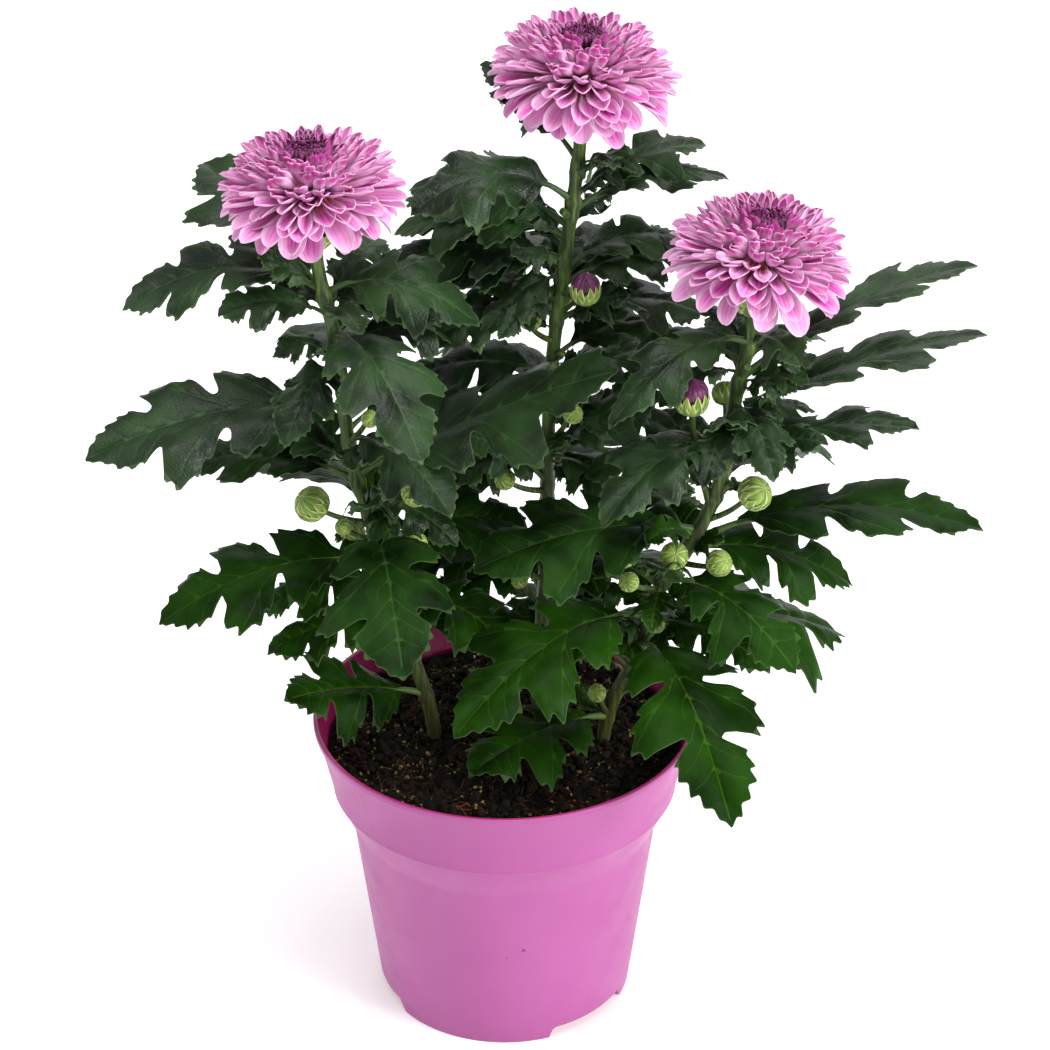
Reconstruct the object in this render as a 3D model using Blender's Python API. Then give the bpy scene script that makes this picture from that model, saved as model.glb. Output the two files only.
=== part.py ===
"""Pot chrysanthemum: three pink decorative blooms on leafy stems, rooted in soil in a plastic nursery pot.

Metres, +Z up. The origin is the middle of the pot's underside, which stands on z = 0.
-Y is the front of the plant. Sizes below are in millimetres, and MM turns them to metres.
"""

import math
import random

import bmesh
import bpy
from mathutils import Matrix, Vector

MM = 0.001
GAP = 0.3  # clearance between pieces that rest on or in each other

# Pot
POT_HEIGHT = 108.0
RIM_RADIUS = 65.0
BAND_FOOT = 81.5  # height at which the rim band starts
BAND_FOOT_RADIUS = 58.5
BAND_EDGE = 0.5  # the fine edge that runs round the band's foot
BODY_TOP = 69.0  # height at which the body widens towards the band
BODY_TOP_RADIUS = 52.4
FOOT_RADIUS = 43.5
WALL = 1.4
LIP_HEIGHT = 1.8
FOOT_RING = 1.8  # width of the ring the pot stands on
FLOOR_HEIGHT = 4.5  # underside of the floor, above the foot ring
DRAFT = 0.4  # slant of the steep faces under the floor
PAD_RADIUS = 9.0  # moulding pad in the middle, level with the foot ring
POT_SIDES = 32
NOTCH_WIDTH = 35.0
NOTCH_HEIGHT = 4.0
NOTCH_CUTTER_DEPTH = 14.0
NOTCH_HEADINGS = (-46.4, 73.6, 193.6)
DRAIN_HOLES = 6
DRAIN_RADIUS = 4.0
DRAIN_RING = 27.0

# Soil
SOIL_TOP = 99.0
SOIL_RELIEF = 2.2
SOIL_SIDES = 26
SOIL_RINGS = 5
STEM_DEPTH = 60.0  # how far down in the soil a stem's root end stands

# Stems: points up the middle of each stem, (x, y, z)
STEM_RADIUS = 2.3
STEM_SIDES = 6
STEMS = {
    "left": [(-24, 0, 100), (-34, 0, 140), (-43, 0, 179), (-50, 0, 209), (-53, 0, 245), (-58, 0, 272)],
    "middle": [(11, 19, 100), (14, 20, 156), (15, 20, 217), (18, 20, 254), (22, 20, 287), (24, 20, 305)],
    "right": [
        (34, -1, 100), (44, -4, 132), (51, -5, 158), (64, -5, 182),
        (71, -5, 203), (75, -5, 234), (79, -5, 254),
    ],
}

# Blooms: middle of each bloom (x, y, z), and its lean in degrees towards +X
BLOOMS = {
    "left": ((-60, 0, 297), -3),
    "middle": ((25, 20, 330), 2),
    "right": ((80.5, -5.5, 279), 7),
}
BLOOM_RADIUS = 30.5
BLOOM_HALF_HEIGHT = 20.5
CORE_RADIUS = 17.0
CORE_HALF_HEIGHT = 14.5
CORE_FLOOR = -9.0  # flat underside of the core, which sits on the calyx
EYE_SEAT = 13.0  # flat top of the core, which carries the eye
EYE_RADIUS = 6.5
EYE_SIDES = 8
CALYX_RADIUS = 6.0
CALYX_HEIGHT = 8.0
PETAL_THICKNESS = 0.8
# Rings of florets, centre outwards: count, polar angle of the tip, width at the spoon
FLORET_RINGS = [(7, 27, 8.0), (10, 43, 9.5), (11, 61, 10.5), (12, 80, 11.5), (12, 101, 12.0), (11, 122, 12.5)]
CURLED_FROM = 95.0  # rings whose tips lie lower than this polar angle curl right over
# Rows of a floret, root to tip: share of its length, half width and sunk middle in shares of its width
FLORET_ROOT, FLORET_NECK, FLORET_SPOON = (0.0, 0.22, 0.0), (0.38, 0.30, 0.0), (0.80, 0.50, 0.10)
CORE_SIDES = 12
ROOT_DEPTH = 0.8  # a floret's root lies this share of the way out to the core's surface
# Rings of the eye: count, distance from the middle as a share of its radius, height
EYE_RINGS = [(6, 0.7, 5.0), (2, 0.3, 5.6)]

# Leaves: height on the stem, heading in degrees from +X, reach and rise of the tip from
# the stem, arch of the midrib above the straight line, lean of the face to the front
LEAF_THICKNESS = 0.7
PETIOLE_SHARE = 0.16
PETIOLE_WIDTH = 2.0
LEAVES = {
    "left": [
        (262, 125, 66, 24, 5, 15), (264, 170, 67, -10, 8, 15), (266, -10, 51, -7, 10, 20),
        (250, -60, 59, -21, 12, 10), (225, -165, 81, -12, 12, 20), (197, 175, 61, -5, 8, 15),
        (167, -165, 76, -12, 10, 15), (179, -80, 68, -16, 12, 10), (140, -170, 49, -2, 8, 15),
        (116, -145, 58, 24, 6, 20), (151, -30, 50, -7, 10, 15), (200, -9, 86, 46, 4, 5),
        (213, -45, 49, -11, 10, 15), (245, 20, 42, -3, 8, 15), (232, 95, 62, -12, 12, -20),
        (186, 120, 66, -16, 12, -20), (150, 80, 60, -14, 12, -20),
    ],
    "middle": [
        (301, 175, 25, 14, 3, 15), (293, -50, 32, 7, 6, 15), (294, 20, 44, 9, 6, 15),
        (287, 10, 50, 1, 8, 15), (279, -160, 55, 4, 12, 20), (272, 145, 63, 2, 8, 15),
        (262, -150, 30, -14, 6, 20), (272, 15, 42, -16, 8, 15), (247, 35, 43, -3, 8, -20),
        (217, 30, 53, 5, 8, 10), (199, -20, 40, 27, 4, 30), (186, -140, 36, 31, 4, 30),
        (165, -60, 37, -6, 8, 10), (255, 100, 66, -14, 14, -20), (215, 120, 66, -14, 12, -20),
        (180, 75, 68, -16, 12, -20), (140, 110, 56, -14, 12, -20),
    ],
    "right": [
        (251, -150, 53, -17, 12, 15), (251, -60, 29, 5, 6, 15), (238, 20, 82, 26, 8, -5),
        (224, 10, 81, 26, 6, 0), (211, -5, 61, 12, 6, 10), (210, -25, 35, 13, 4, 15),
        (220, 35, 35, -4, 6, 10), (212, -140, 54, -9, 12, 15), (195, 120, 34, 17, 4, 10),
        (178, 0, 95, 7, 12, 0), (174, 15, 57, -20, 8, 15), (163, -40, 55, -14, 10, 10),
        (138, -70, 81, -22, 16, 5), (138, 35, 75, -29, 10, 15), (149, -140, 84, -13, 14, 15),
        (107, -135, 66, 7, 6, 15), (236, 70, 60, -12, 12, -20), (196, 60, 66, -18, 12, -20),
        (150, 95, 60, -16, 12, -20), (182, -168, 76, -6, 8, 15),
    ],
}
# Outline of one half of a blade, in shares of its length: along, out, and the index of
# the midrib point that the fan of triangles starts from. Two lobes and a long end lobe.
HALF_BLADE = [
    (0.18, 0.15, 1), (0.41, 0.33, 1), (0.40, 0.15, 2), (0.75, 0.33, 2), (0.69, 0.14, 3), (0.87, 0.14, 3),
]
MIDRIB = [0.0, 0.14, 0.42, 0.72, 1.0]

# Buds: height on the stem, heading, reach and rise of the bud, its radius
BUD_SIDES = 6
BUD_RINGS = 4
BUD_SQUEEZE = 0.85
STALK_RADIUS = 0.9
BUDS = {
    "left": [
        (182, -160, 20, 11, 5.2), (185, -40, 21, 16, 4.6), (167, -50, 18, 15, 4.0),
        (175, -150, 12, 9, 2.8), (213, -45, 11, 12, 2.8), (158, 140, 16, 14, 4.2),
    ],
    "middle": [
        (183, -135, 20, 12, 3.5), (202, -55, 14, 16, 3.2), (139, -125, 14, 16, 2.8),
        (232, 80, 15, 16, 4.4), (190, 150, 14, 12, 3.6),
    ],
    "right": [
        (186, -30, 18, 15, 5.2), (171, -150, 22, 9, 5.0), (165, -85, 13, 15, 4.4),
        (170, -35, 16, 5, 4.4), (160, -130, 17, 10, 3.2), (138, -70, 13, 15, 3.0),
        (108, -115, 10, 14, 3.0), (210, 90, 13, 16, 4.4),
    ],
}
PINK_FLORETS = 4
# Buds that have opened to show pink: stem, height, heading, reach, rise, radius
PINK_BUDS = [
    ("middle", 257, -55, 14, 6, 4.8),
    ("middle", 239, -135, 11, 12, 3.6),
    ("right", 191, -130, 12, 45, 5.6),
]


def clear_scene():
    for obj in list(bpy.data.objects):
        bpy.data.objects.remove(obj)


def material(name, red, green, blue, roughness):
    made = bpy.data.materials.new(name)
    made.use_nodes = True
    shader = made.node_tree.nodes["Principled BSDF"]
    shader.inputs["Base Color"].default_value = (red, green, blue, 1.0)
    shader.inputs["Roughness"].default_value = roughness
    shader.inputs["Metallic"].default_value = 0.0
    made.diffuse_color = (red, green, blue, 1.0)
    return made


def mesh_object(name, points, faces, mat=None):
    """An object from points in millimetres."""
    mesh = bpy.data.meshes.new(name)
    mesh.from_pydata([Vector(p) * MM for p in points], [], faces)
    if mat:
        mesh.materials.append(mat)
    obj = bpy.data.objects.new(name, mesh)
    bpy.context.scene.collection.objects.link(obj)
    return obj


def apply_modifiers(obj):
    graph = bpy.context.evaluated_depsgraph_get()
    mesh = bpy.data.meshes.new_from_object(obj.evaluated_get(graph))
    obj.modifiers.clear()
    obj.data = mesh


def fuse(name, pieces, mat):
    """One body from closed pieces that run into each other."""
    body = pieces[0]
    body.name = name
    others = bpy.data.collections.new(name + "_pieces")
    for piece in pieces[1:]:
        others.objects.link(piece)
    join = body.modifiers.new("Join", "BOOLEAN")
    join.operation = "UNION"
    join.operand_type = "COLLECTION"
    join.collection = others
    apply_modifiers(body)
    for piece in pieces[1:]:
        bpy.data.objects.remove(piece)
    bpy.data.collections.remove(others)
    body.data.materials.clear()
    body.data.materials.append(mat)
    return body


def cut(body, cutters):
    for cutter in cutters:
        modifier = body.modifiers.new("Cut", "BOOLEAN")
        modifier.operation = "DIFFERENCE"
        modifier.object = cutter
    apply_modifiers(body)
    for cutter in cutters:
        bpy.data.objects.remove(cutter)


def turned(name, profile, sides, mat=None):
    """A body turned round Z from a closed profile of (radius, height) that starts and ends on the axis."""
    mesh = bmesh.new()
    corners = [mesh.verts.new((radius * MM, 0.0, height * MM)) for radius, height in profile]
    edges = [mesh.edges.new(pair) for pair in zip(corners, corners[1:])]
    bmesh.ops.spin(
        mesh, geom=corners + edges, cent=(0, 0, 0), axis=(0, 0, 1), angle=math.tau, steps=sides,
        use_duplicate=False,
    )
    bmesh.ops.remove_doubles(mesh, verts=mesh.verts, dist=1e-6)
    bmesh.ops.recalc_face_normals(mesh, faces=mesh.faces)
    data = bpy.data.meshes.new(name)
    mesh.to_mesh(data)
    mesh.free()
    if mat:
        data.materials.append(mat)
    obj = bpy.data.objects.new(name, data)
    bpy.context.scene.collection.objects.link(obj)
    return obj


def tube(name, path, radii, sides):
    """A closed tube round a path, with a radius at each point."""
    path = [Vector(p) for p in path]
    side = Vector((0, 1, 0))
    points = []
    for i, centre in enumerate(path):
        along = (path[min(i + 1, len(path) - 1)] - path[max(i - 1, 0)]).normalized()
        if abs(along.dot(side)) > 0.9:
            side = Vector((1, 0, 0))
        first = side.cross(along).normalized()
        side = along.cross(first).normalized()
        for k in range(sides):
            turn = math.tau * k / sides
            points.append(centre + radii[i] * (first * math.cos(turn) + side * math.sin(turn)))
    faces = [tuple(reversed(range(sides))), tuple(range(len(points) - sides, len(points)))]
    for i in range(len(path) - 1):
        for k in range(sides):
            a, b = i * sides + k, i * sides + (k + 1) % sides
            faces.append((a, b, b + sides, a + sides))
    return mesh_object(name, points, faces)


def thick_sheet(name, points, faces):
    """A closed blade round a sheet of triangles: the same triangles on both faces, and a rim.

    Each point is (place, direction of the upper face, thickness there)."""
    top = [place + normal * thickness / 2 for place, normal, thickness in points]
    under = [place - normal * thickness / 2 for place, normal, thickness in points]
    shift = len(points)
    sides = {(f[i], f[(i + 1) % 3]) for f in faces for i in range(3)}
    rim = [(a, b) for a, b in sides if (b, a) not in sides]
    solid = list(faces) + [tuple(i + shift for i in reversed(f)) for f in faces]
    for a, b in sorted(rim):
        solid.append((b, a, a + shift))
        solid.append((b, a + shift, b + shift))
    return mesh_object(name, top + under, solid)


def curve_point(start, bend, end, share):
    return start * (1 - share) ** 2 + bend * 2 * share * (1 - share) + end * share**2


def curve_heading(start, bend, end, share):
    return ((bend - start) * (1 - share) + (end - bend) * share).normalized()


def stem_point(stem, height):
    """The middle of a stem at a height, from straight runs between its points."""
    path = [Vector(p) for p in STEMS[stem]]
    for low, high in zip(path, path[1:]):
        if height <= high.z or high is path[-1]:
            return low.lerp(high, (height - low.z) / (high.z - low.z))


def offset(heading, reach, rise):
    """A step sideways along a heading in degrees, and up."""
    turn = math.radians(heading)
    return Vector((reach * math.cos(turn), reach * math.sin(turn), rise))


def leaf(name, stem, height, heading, reach, rise, arch, lean):
    """One leaf: a petiole rooted in the middle of the stem, which thins out into a lobed blade."""
    start = stem_point(stem, height)
    end = start + offset(heading, reach, rise)
    bend = start.lerp(end, 0.45) + Vector((0, 0, 2 * arch))
    face = Vector((0, -math.sin(math.radians(lean)), math.cos(math.radians(lean))))
    side = (end - start).cross(face).normalized()
    length = (end - start).length * (1 - PETIOLE_SHARE)

    def at(along, out):
        share = PETIOLE_SHARE + (1 - PETIOLE_SHARE) * along
        normal = side.cross(curve_heading(start, bend, end, share)).normalized()
        sink = 0.22 * abs(out) - 1.1 * out * out  # a trough along the midrib, and lobes that droop
        place = curve_point(start, bend, end, share) + (side * out + normal * sink) * length
        return place, normal, LEAF_THICKNESS

    points = [at(along, 0.0) for along in MIDRIB]
    points[0] = (*points[0][:2], PETIOLE_WIDTH)
    tip = len(MIDRIB) - 1
    faces = []
    root_normal = side.cross(curve_heading(start, bend, end, 0)).normalized()
    roots = []
    for sign in (1, -1):
        across = side * (sign * PETIOLE_WIDTH / 2)
        root = len(points)
        roots.append(root)
        points.append((start + across, root_normal, PETIOLE_WIDTH))
        points.append((points[0][0] + across, points[0][1], PETIOLE_WIDTH))
        points += [at(along, sign * out) for along, out, _ in HALF_BLADE]
        rim = list(range(root, len(points))) + [tip]
        ribs = [0, 0] + [rib for _, _, rib in HALF_BLADE] + [tip - 1]
        half = []
        for (here, following), (rib, next_rib) in zip(zip(rim, rim[1:]), zip(ribs, ribs[1:])):
            half.append((rib, here, following))
            if next_rib != rib:
                half.append((rib, following, next_rib))
        faces += half if sign > 0 else [tuple(reversed(f)) for f in half]
    faces.append((0, roots[1], roots[0]))
    return thick_sheet(name, points, faces)


def stalk(name, start, end, sides):
    """A bud's stalk, which leaves the stem sideways and turns up to the bud."""
    bend = start.lerp(end, 0.6) - Vector((0, 0, (end.z - start.z) * 0.25))
    return tube(name, [start, bend, end], [STALK_RADIUS * 1.3, STALK_RADIUS, STALK_RADIUS], sides)


def green_bud(name, stem, height, heading, reach, rise, radius):
    """A closed bud, slightly flattened, on its stalk."""
    start = stem_point(stem, height)
    end = start + offset(heading, reach, rise)
    profile = [(0, -radius * BUD_SQUEEZE)]
    for ring in range(1, BUD_RINGS):
        polar = math.pi * ring / BUD_RINGS
        profile.append((radius * math.sin(polar), -radius * BUD_SQUEEZE * math.cos(polar)))
    profile.append((0, radius * BUD_SQUEEZE))
    bud = turned(name, profile, BUD_SIDES)
    bud.data.transform(Matrix.Translation(end * MM))
    return [stalk(name + "_stalk", start, end, 3), bud]


def leafy_stem(stem, mat):
    """One stem with its leaves and green buds, widened at the top to the calyx that carries the bloom."""
    path = [Vector(p) for p in STEMS[stem]]
    foot = path[0] + Vector((0, 0, -STEM_DEPTH + SOIL_TOP - path[0].z))
    centre, lean = BLOOMS[stem]
    axis = Matrix.Rotation(math.radians(lean), 3, "Y") @ Vector((0, 0, 1))
    seat = Vector(centre) + axis * (CORE_FLOOR - GAP)
    path = [foot] + path + [seat - axis * CALYX_HEIGHT, seat - axis * CALYX_HEIGHT * 0.35, seat]
    radii = [STEM_RADIUS] * (len(path) - 2) + [CALYX_RADIUS * 0.9, CALYX_RADIUS]
    pieces = [tube("stem_" + stem, path, radii, STEM_SIDES)]
    for i, row in enumerate(LEAVES[stem]):
        pieces.append(leaf(f"leaf_{stem}_{i}", stem, *row))
    for i, row in enumerate(BUDS[stem]):
        pieces += green_bud(f"bud_{stem}_{i}", stem, *row)
    for i, (on, *row) in enumerate(PINK_BUDS):
        if on == stem:
            pieces += pink_bud_stalk(f"bud_stalk_{i}", stem, *row)
    return fuse("stem_" + stem, pieces, mat)


def pink_bud_stalk(name, stem, height, heading, reach, rise, radius):
    """The stalk and green cup under a bud that shows pink."""
    start = stem_point(stem, height)
    end = start + offset(heading, reach, rise)
    foot = end - Vector((0, 0, radius * 0.9))
    profile = [(0, -1.1), (0.7, -0.7), (0.9, -0.1), (0, -0.1)]
    cup = turned(name + "_cup", [(radius * r, radius * z) for r, z in profile], BUD_SIDES)
    cup.data.transform(Matrix.Translation(end * MM))
    return [stalk(name, start, foot, 4), cup]


def pink_bud(name, stem, height, heading, reach, rise, radius, mat):
    """A bud's tuft of closed florets, standing on its green cup."""
    end = stem_point(stem, height) + offset(heading, reach, rise)
    base = -radius * 0.1 + GAP
    profile = [(0, base), (radius * 0.85, base)]
    profile += [(radius, radius * 0.35), (radius * 0.7, radius * 0.9), (0, radius)]
    tuft = turned(name, profile, BUD_SIDES)
    tuft.data.transform(Matrix.Translation(end * MM))
    pieces = [tuft]
    for k in range(PINK_FLORETS):
        turn = math.tau * (k + 0.5) / PINK_FLORETS
        out = Vector((math.cos(turn), math.sin(turn), 0)) * radius
        up = Vector((0, 0, radius))
        path = [end + out * 0.55 + up * 0.2, end + out * 0.85 + up * 0.6, end + out * 0.5 + up * 1.35]
        pieces.append(tube(f"{name}_floret_{k}", path, [radius * share for share in (0.3, 0.33, 0.12)], 3))
    return fuse(name, pieces, mat)


def floret(name, place, heading, root, bend, tip, width, curled):
    """A spoon-shaped ray floret. root, bend and tip are (distance from the bloom's axis, height).

    A curled one is long enough to need a row of points more on its way down."""
    turn = math.radians(heading)
    out = Vector((math.cos(turn), math.sin(turn), 0))
    side = Vector((-math.sin(turn), math.cos(turn), 0))
    root, bend, tip = (out * r + Vector((0, 0, z)) for r, z in (root, bend, tip))
    rows = [FLORET_ROOT, FLORET_NECK, FLORET_SPOON] if curled else [FLORET_ROOT, FLORET_SPOON]
    points = []
    for share, half, dip in rows:
        middle = curve_point(root, bend, tip, share)
        normal = curve_heading(root, bend, tip, share).cross(side).normalized()
        points.append((middle - side * half * width, normal, PETAL_THICKNESS))
        points.append((middle + side * half * width, normal, PETAL_THICKNESS))
    points.append((middle - normal * dip * width, normal, PETAL_THICKNESS))
    points.append((tip, curve_heading(root, bend, tip, 1).cross(side).normalized(), PETAL_THICKNESS))
    faces = [(0, 3, 1), (0, 2, 3)] if curled else []
    left, right, spoon_left, spoon_right, spoon, tip_point = range(len(points) - 6, len(points))
    faces += [(left, spoon, right), (left, spoon_left, spoon), (right, spoon, spoon_right)]
    faces += [(spoon_left, tip_point, spoon), (spoon, tip_point, spoon_right)]
    petal = thick_sheet(name, points, faces)
    petal.data.transform(place)
    return petal


def bloom_place(bloom):
    centre, lean = BLOOMS[bloom]
    return Matrix.Translation(Vector(centre) * MM) @ Matrix.Rotation(math.radians(lean), 4, "Y")


def bloom(bloom_name, mat):
    """One flower head: a domed core with rings of florets, the outer ones drooping."""
    name = "bloom_" + bloom_name
    place = bloom_place(bloom_name)
    profile = [(0, CORE_FLOOR), (CORE_RADIUS * 0.57, CORE_FLOOR)]
    for polar in (119, 92, 66):
        turn = math.radians(polar)
        profile.append((CORE_RADIUS * math.sin(turn), CORE_HALF_HEIGHT * math.cos(turn)))
    profile += [(CORE_RADIUS * 0.64, EYE_SEAT), (0, EYE_SEAT)]
    core = turned(name, profile, CORE_SIDES)
    core.data.transform(place)
    pieces = [core]
    for ring, (count, polar, width) in enumerate(FLORET_RINGS):
        lean = math.radians(polar)
        start = math.radians(18 + 0.78 * polar)
        depth = Vector((CORE_RADIUS, CORE_HALF_HEIGHT)) * ROOT_DEPTH
        root = (depth.x * math.sin(start), depth.y * math.cos(start))
        tip = (BLOOM_RADIUS * math.sin(lean), BLOOM_HALF_HEIGHT * math.cos(lean))
        droop = 3.0 + 5.0 * math.sin(lean)
        bend = (root[0] + (tip[0] - root[0]) * 0.7, root[1] + (tip[1] - root[1]) * 0.5 + droop)
        for k in range(count):
            heading = 360 * (k + 0.5 * (ring % 2)) / count
            curled = polar > CURLED_FROM
            pieces.append(floret(f"{name}_{ring}_{k}", place, heading, root, bend, tip, width, curled))
    return fuse(name, pieces, mat)


def eye(bloom_name, mat):
    """The tight dark middle of a bloom: short florets still curled in, on one button."""
    name = "eye_" + bloom_name
    base = EYE_SEAT + GAP
    profile = [(0, base), (EYE_RADIUS, base), (EYE_RADIUS * 0.8, base + 2.5), (0, base + 3.5)]
    button = turned(name, profile, EYE_SIDES)
    pieces = [button]
    for ring, (count, radius, height) in enumerate(EYE_RINGS):
        for k in range(count):
            turn = math.tau * (k + 0.5 * ring) / count
            out = Vector((math.cos(turn), math.sin(turn), 0)) * EYE_RADIUS
            up = Vector((0, 0, 1))
            path = [out * radius + up * (base + 1.2), out * radius * 0.6 + up * (base + height)]
            pieces.append(tube(f"{name}_{ring}_{k}", path, [1.4, 0.8], 3))
    for piece in pieces:
        piece.data.transform(bloom_place(bloom_name))
    return fuse(name, pieces, mat)


def wall_radius(height):
    """The outer radius of the pot's body at a height under the band."""
    return FOOT_RADIUS + (BODY_TOP_RADIUS - FOOT_RADIUS) * height / BODY_TOP


def pot(mat):
    """The moulded pot: tapered body, shoulder, flared rim band, raised floor on a notched foot ring."""
    top_floor = FLOOR_HEIGHT + WALL
    profile = [
        (0, top_floor),
        (wall_radius(top_floor) - WALL, top_floor),
        (BODY_TOP_RADIUS - WALL, BODY_TOP),
        (BAND_FOOT_RADIUS - WALL, BAND_FOOT),
        (RIM_RADIUS - WALL * 1.2, POT_HEIGHT),
        (RIM_RADIUS, POT_HEIGHT),
        (RIM_RADIUS - 0.1, POT_HEIGHT - LIP_HEIGHT),
        (BAND_FOOT_RADIUS, BAND_FOOT + BAND_EDGE),
        (BAND_FOOT_RADIUS - BAND_EDGE, BAND_FOOT),
        (BODY_TOP_RADIUS, BODY_TOP),
        (FOOT_RADIUS, 0),
        (FOOT_RADIUS - FOOT_RING, 0),
        (FOOT_RADIUS - FOOT_RING - DRAFT, FLOOR_HEIGHT),
        (PAD_RADIUS + DRAFT, FLOOR_HEIGHT),
        (PAD_RADIUS, 0),
        (0, 0),
    ]
    body = turned("pot", profile, POT_SIDES, mat)
    cutters = []
    for heading in NOTCH_HEADINGS:
        bpy.ops.mesh.primitive_cube_add(size=1)
        block = bpy.context.object
        size = (NOTCH_CUTTER_DEPTH, NOTCH_WIDTH, 2 * NOTCH_HEIGHT, 1 / MM)
        block.data.transform(Matrix.Diagonal([extent * MM for extent in size]))
        block.data.transform(Matrix.Translation((FOOT_RADIUS * MM, 0, 0)))
        block.data.transform(Matrix.Rotation(math.radians(heading), 4, "Z"))
        cutters.append(block)
    for k in range(DRAIN_HOLES):
        bpy.ops.mesh.primitive_cylinder_add(vertices=12, radius=DRAIN_RADIUS * MM, depth=6 * WALL * MM)
        drill = bpy.context.object
        place = offset(360 * (k + 0.5) / DRAIN_HOLES, DRAIN_RING, FLOOR_HEIGHT + WALL / 2)
        drill.data.transform(Matrix.Translation(place * MM))
        cutters.append(drill)
    cut(body, cutters)
    return body


def soil(mat):
    """The root ball: it fills the pot to just under the rim, with a plain hole round each stem."""
    draw = random.Random(7)
    floor = FLOOR_HEIGHT + WALL + GAP
    edge = SOIL_TOP - SOIL_RELIEF
    slope = (RIM_RADIUS - BAND_FOOT_RADIUS) / (POT_HEIGHT - BAND_FOOT)
    edge_radius = BAND_FOOT_RADIUS - WALL - 4 * GAP + (edge - BAND_FOOT) * slope
    points = [(0, 0, floor)]
    rows = [
        (wall_radius(floor) - WALL - 3 * GAP, floor, 0),
        (BODY_TOP_RADIUS - WALL - 3 * GAP, BODY_TOP, 0),
        (BAND_FOOT_RADIUS - WALL - 3 * GAP, BAND_FOOT, 0),
        (edge_radius, edge, 0),
    ]
    rows += [(edge_radius * (1 - ring / SOIL_RINGS), SOIL_TOP, 1) for ring in range(1, SOIL_RINGS)]
    for radius, height, rough in rows:
        for k in range(SOIL_SIDES):
            turn = math.tau * k / SOIL_SIDES
            radial = radius + draw.uniform(-1, 1) * rough * 1.5
            lift = draw.uniform(-1, 1) * rough * SOIL_RELIEF
            points.append((radial * math.cos(turn), radial * math.sin(turn), height + lift))
    points.append((0, 0, SOIL_TOP))
    faces = []
    for k in range(SOIL_SIDES):
        following = (k + 1) % SOIL_SIDES
        faces.append((0, 1 + following, 1 + k))
        for row in range(len(rows) - 1):
            a, b = 1 + row * SOIL_SIDES + k, 1 + row * SOIL_SIDES + following
            faces.append((a, b, b + SOIL_SIDES))
            faces.append((a, b + SOIL_SIDES, a + SOIL_SIDES))
        last = 1 + (len(rows) - 1) * SOIL_SIDES
        faces.append((last + k, last + following, len(points) - 1))
    body = mesh_object("soil", points, faces, mat)
    holes = []
    for stem, path in STEMS.items():
        low, high = Vector(path[0]), Vector(path[1])
        foot = Vector((low.x, low.y, SOIL_TOP - STEM_DEPTH - GAP))
        above = low.lerp(high, STEM_DEPTH / 5 / (high.z - low.z))
        holes.append(tube("hole_" + stem, [foot, low, above], [STEM_RADIUS + 2 * GAP] * 3, STEM_SIDES))
    cut(body, holes)
    return body


clear_scene()
plastic = material("pink_polypropylene", 0.62, 0.16, 0.46, 0.4)
earth = material("potting_soil", 0.02, 0.012, 0.008, 0.95)
foliage = material("leaf_green", 0.03, 0.09, 0.03, 0.55)
petals = material("petal_pink", 0.75, 0.35, 0.62, 0.6)
dark_florets = material("eye_magenta", 0.12, 0.01, 0.07, 0.6)
bud_pink = material("bud_magenta", 0.45, 0.06, 0.28, 0.6)

pot(plastic)
soil(earth)
for each in STEMS:
    leafy_stem(each, foliage)
    bloom(each, petals)
    eye(each, dark_florets)
for number, row in enumerate(PINK_BUDS):
    pink_bud(f"pink_bud_{number + 1}", *row, bud_pink)
for obj in bpy.data.objects:
    obj.data.shade_smooth()
    obj.data.set_sharp_from_angle(angle=math.radians(30))
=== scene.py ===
"""The looks of a pot chrysanthemum: three pink decorative blooms on leafy stems, in a pink nursery pot.

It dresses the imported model. Z is up and -Y is the front. Shapes are worked out in millimetres, and
add_piece turns them to metres.
"""

import functools
import math
import random

import bmesh
import bpy
import numpy as np
from mathutils import Matrix, Vector, geometry, noise


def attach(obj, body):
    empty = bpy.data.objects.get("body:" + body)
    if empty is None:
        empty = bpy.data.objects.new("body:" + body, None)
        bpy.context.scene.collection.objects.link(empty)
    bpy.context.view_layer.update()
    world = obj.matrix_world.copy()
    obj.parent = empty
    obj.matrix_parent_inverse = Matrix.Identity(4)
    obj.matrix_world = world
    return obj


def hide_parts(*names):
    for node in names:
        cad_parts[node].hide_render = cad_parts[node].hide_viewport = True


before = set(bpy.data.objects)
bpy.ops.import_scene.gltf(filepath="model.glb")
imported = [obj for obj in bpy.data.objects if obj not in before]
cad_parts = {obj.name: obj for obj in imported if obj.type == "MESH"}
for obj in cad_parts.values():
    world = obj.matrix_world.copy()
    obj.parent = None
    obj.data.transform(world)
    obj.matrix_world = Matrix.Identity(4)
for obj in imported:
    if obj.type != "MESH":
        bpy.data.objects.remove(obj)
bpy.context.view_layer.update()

# Camera. A long lens about a metre away looks down on the plant at 30 degrees. The angle and the place
# were worked out from the ellipses of the pot's rim, band and foot.
CAMERA_PITCH = math.radians(30.1)
CAMERA_DISTANCE = 1.153
CAMERA_TARGET = Vector((0.007, 0.0, 0.1811))
lens = bpy.data.cameras.new("lens")
lens.lens = 120
lens.sensor_width = 36
camera = bpy.data.objects.new("camera", lens)
bpy.context.scene.collection.objects.link(camera)
backwards = Vector((0.0, -math.cos(CAMERA_PITCH), math.sin(CAMERA_PITCH)))
camera.location = CAMERA_TARGET + backwards * CAMERA_DISTANCE
camera.rotation_euler = (-backwards).to_track_quat("-Z", "Y").to_euler()
bpy.context.scene.camera = camera


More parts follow.
